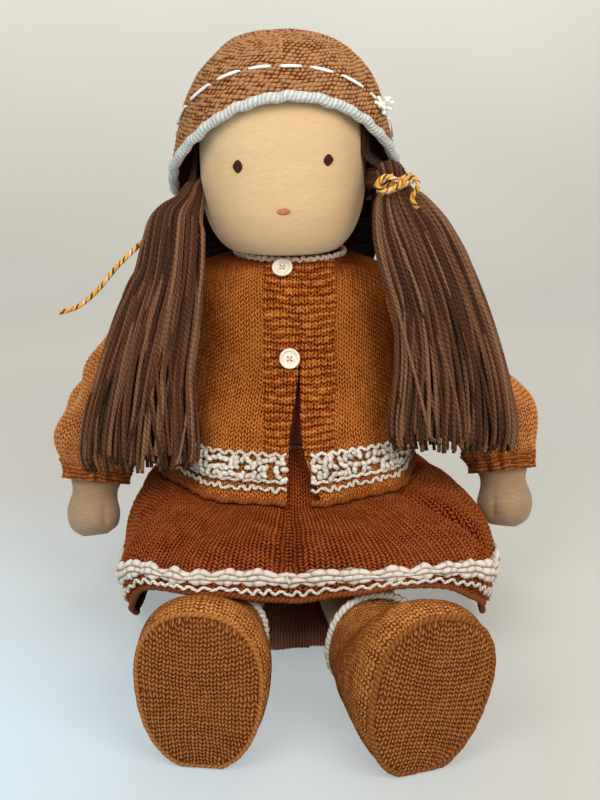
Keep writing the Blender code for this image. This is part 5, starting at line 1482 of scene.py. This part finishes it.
# Painted light and shade in the sweep's colour: bluish at the front left, lighter up the backdrop, and soft
# patches of painted fold shade.
known = formula(tree, {"x": x, "y": y, "z": z, "painted_fold_noise": painted_fold_noise}, [
    ("left", "MULTIPLY_ADD", "x", -1.5, 0.16), ("near", "MULTIPLY_ADD", "y", -3.2, 0.45),
    ("a", "MINIMUM", "near", 1.0), ("b", "MAXIMUM", "a", 0.0), ("c", "MULTIPLY", "left", "b"),
    ("wall", "MULTIPLY_ADD", "z", -1.5, 0.50), ("d", "MULTIPLY_ADD", "painted_fold_noise", 0.24, -0.12),
    ("e", "ADD", "wall", "d"), ("f", "ADD", "c", "e")])
colour = three_colours(tree, known["f"], "#e6e5da", "#c9c6bd", "#d0e6f4")
diffuse = add(tree, "ShaderNodeBsdfPrincipled", {
    "Base Color": colour, "Roughness": 0.95,
    "Normal": add(tree, "ShaderNodeBump", {"Distance": 0.00005, "Height": grain})})
glow = add(tree, "ShaderNodeEmission", {"Color": colour, "Strength": 1.0})
ray = tree.nodes.new("ShaderNodeLightPath").outputs
known = formula(tree, {"camera": ray["Is Camera Ray"], "glossy": ray["Is Glossy Ray"],
                       "through": ray["Is Transmission Ray"]}, [
    ("a", "MAXIMUM", "camera", "glossy"), ("b", "MAXIMUM", "a", "through"),
    ("amount", "MULTIPLY", "b", paper_glow)])
surface = add(tree, "ShaderNodeMixShader", (known["amount"], diffuse, glow))
tree.links.new(surface, tree.nodes.new("ShaderNodeOutputMaterial").inputs[0])
side = [(-1.1, 0), (0.6, 0), (0.85, 0.03), (1.05, 0.15), (1.15, 0.4), (1.2, 1.6)]
line = curve([(y, z, 0) for y, z in side], count=60)
points = np.stack([np.stack([np.full(60, x), line[:, 0], np.maximum(line[:, 1], 0)], -1)
                   for x in np.linspace(-2, 2, 9)])
floor = grid("floor_sweep", points, sweep)
print("floor points:", len(floor.data.vertices))

# %% [markdown]
# ## Light
# Two large soft lamps, left and right in front of the doll and nearly equal, as
# a window and a pale wall would give, and a weak one above and behind. They are
# set so that a colour renders about as it is written.

# %% Lights
for name, spot, power, size in (
        ("key", (-0.58, -0.98, 1.20), 12.5, 0.8), ("fill", (0.66, -1.02, 0.95), 12.3, 0.8),
        ("top", (0.1, 0.25, 1.3), 4.0, 0.9)):
    lamp = bpy.data.lights.new(name, "AREA")
    lamp.energy = power
    lamp.size = size
    light = bpy.data.objects.new(name, lamp)
    light.location = spot
    light.rotation_euler = (Vector((0.0, -0.05, 0.14)) - Vector(spot)).to_track_quat("-Z", "Y").to_euler()
    scene.collection.objects.link(light)
world = bpy.data.worlds.new("pale_world")
world.use_nodes = True
world.node_tree.nodes["Background"].inputs[0].default_value = srgb("#f2f0ec")
world.node_tree.nodes["Background"].inputs[1].default_value = 0.50
scene.world = world
scene.view_settings.view_transform = "Standard"
print("lamps:", [lamp.name for lamp in bpy.data.lights])
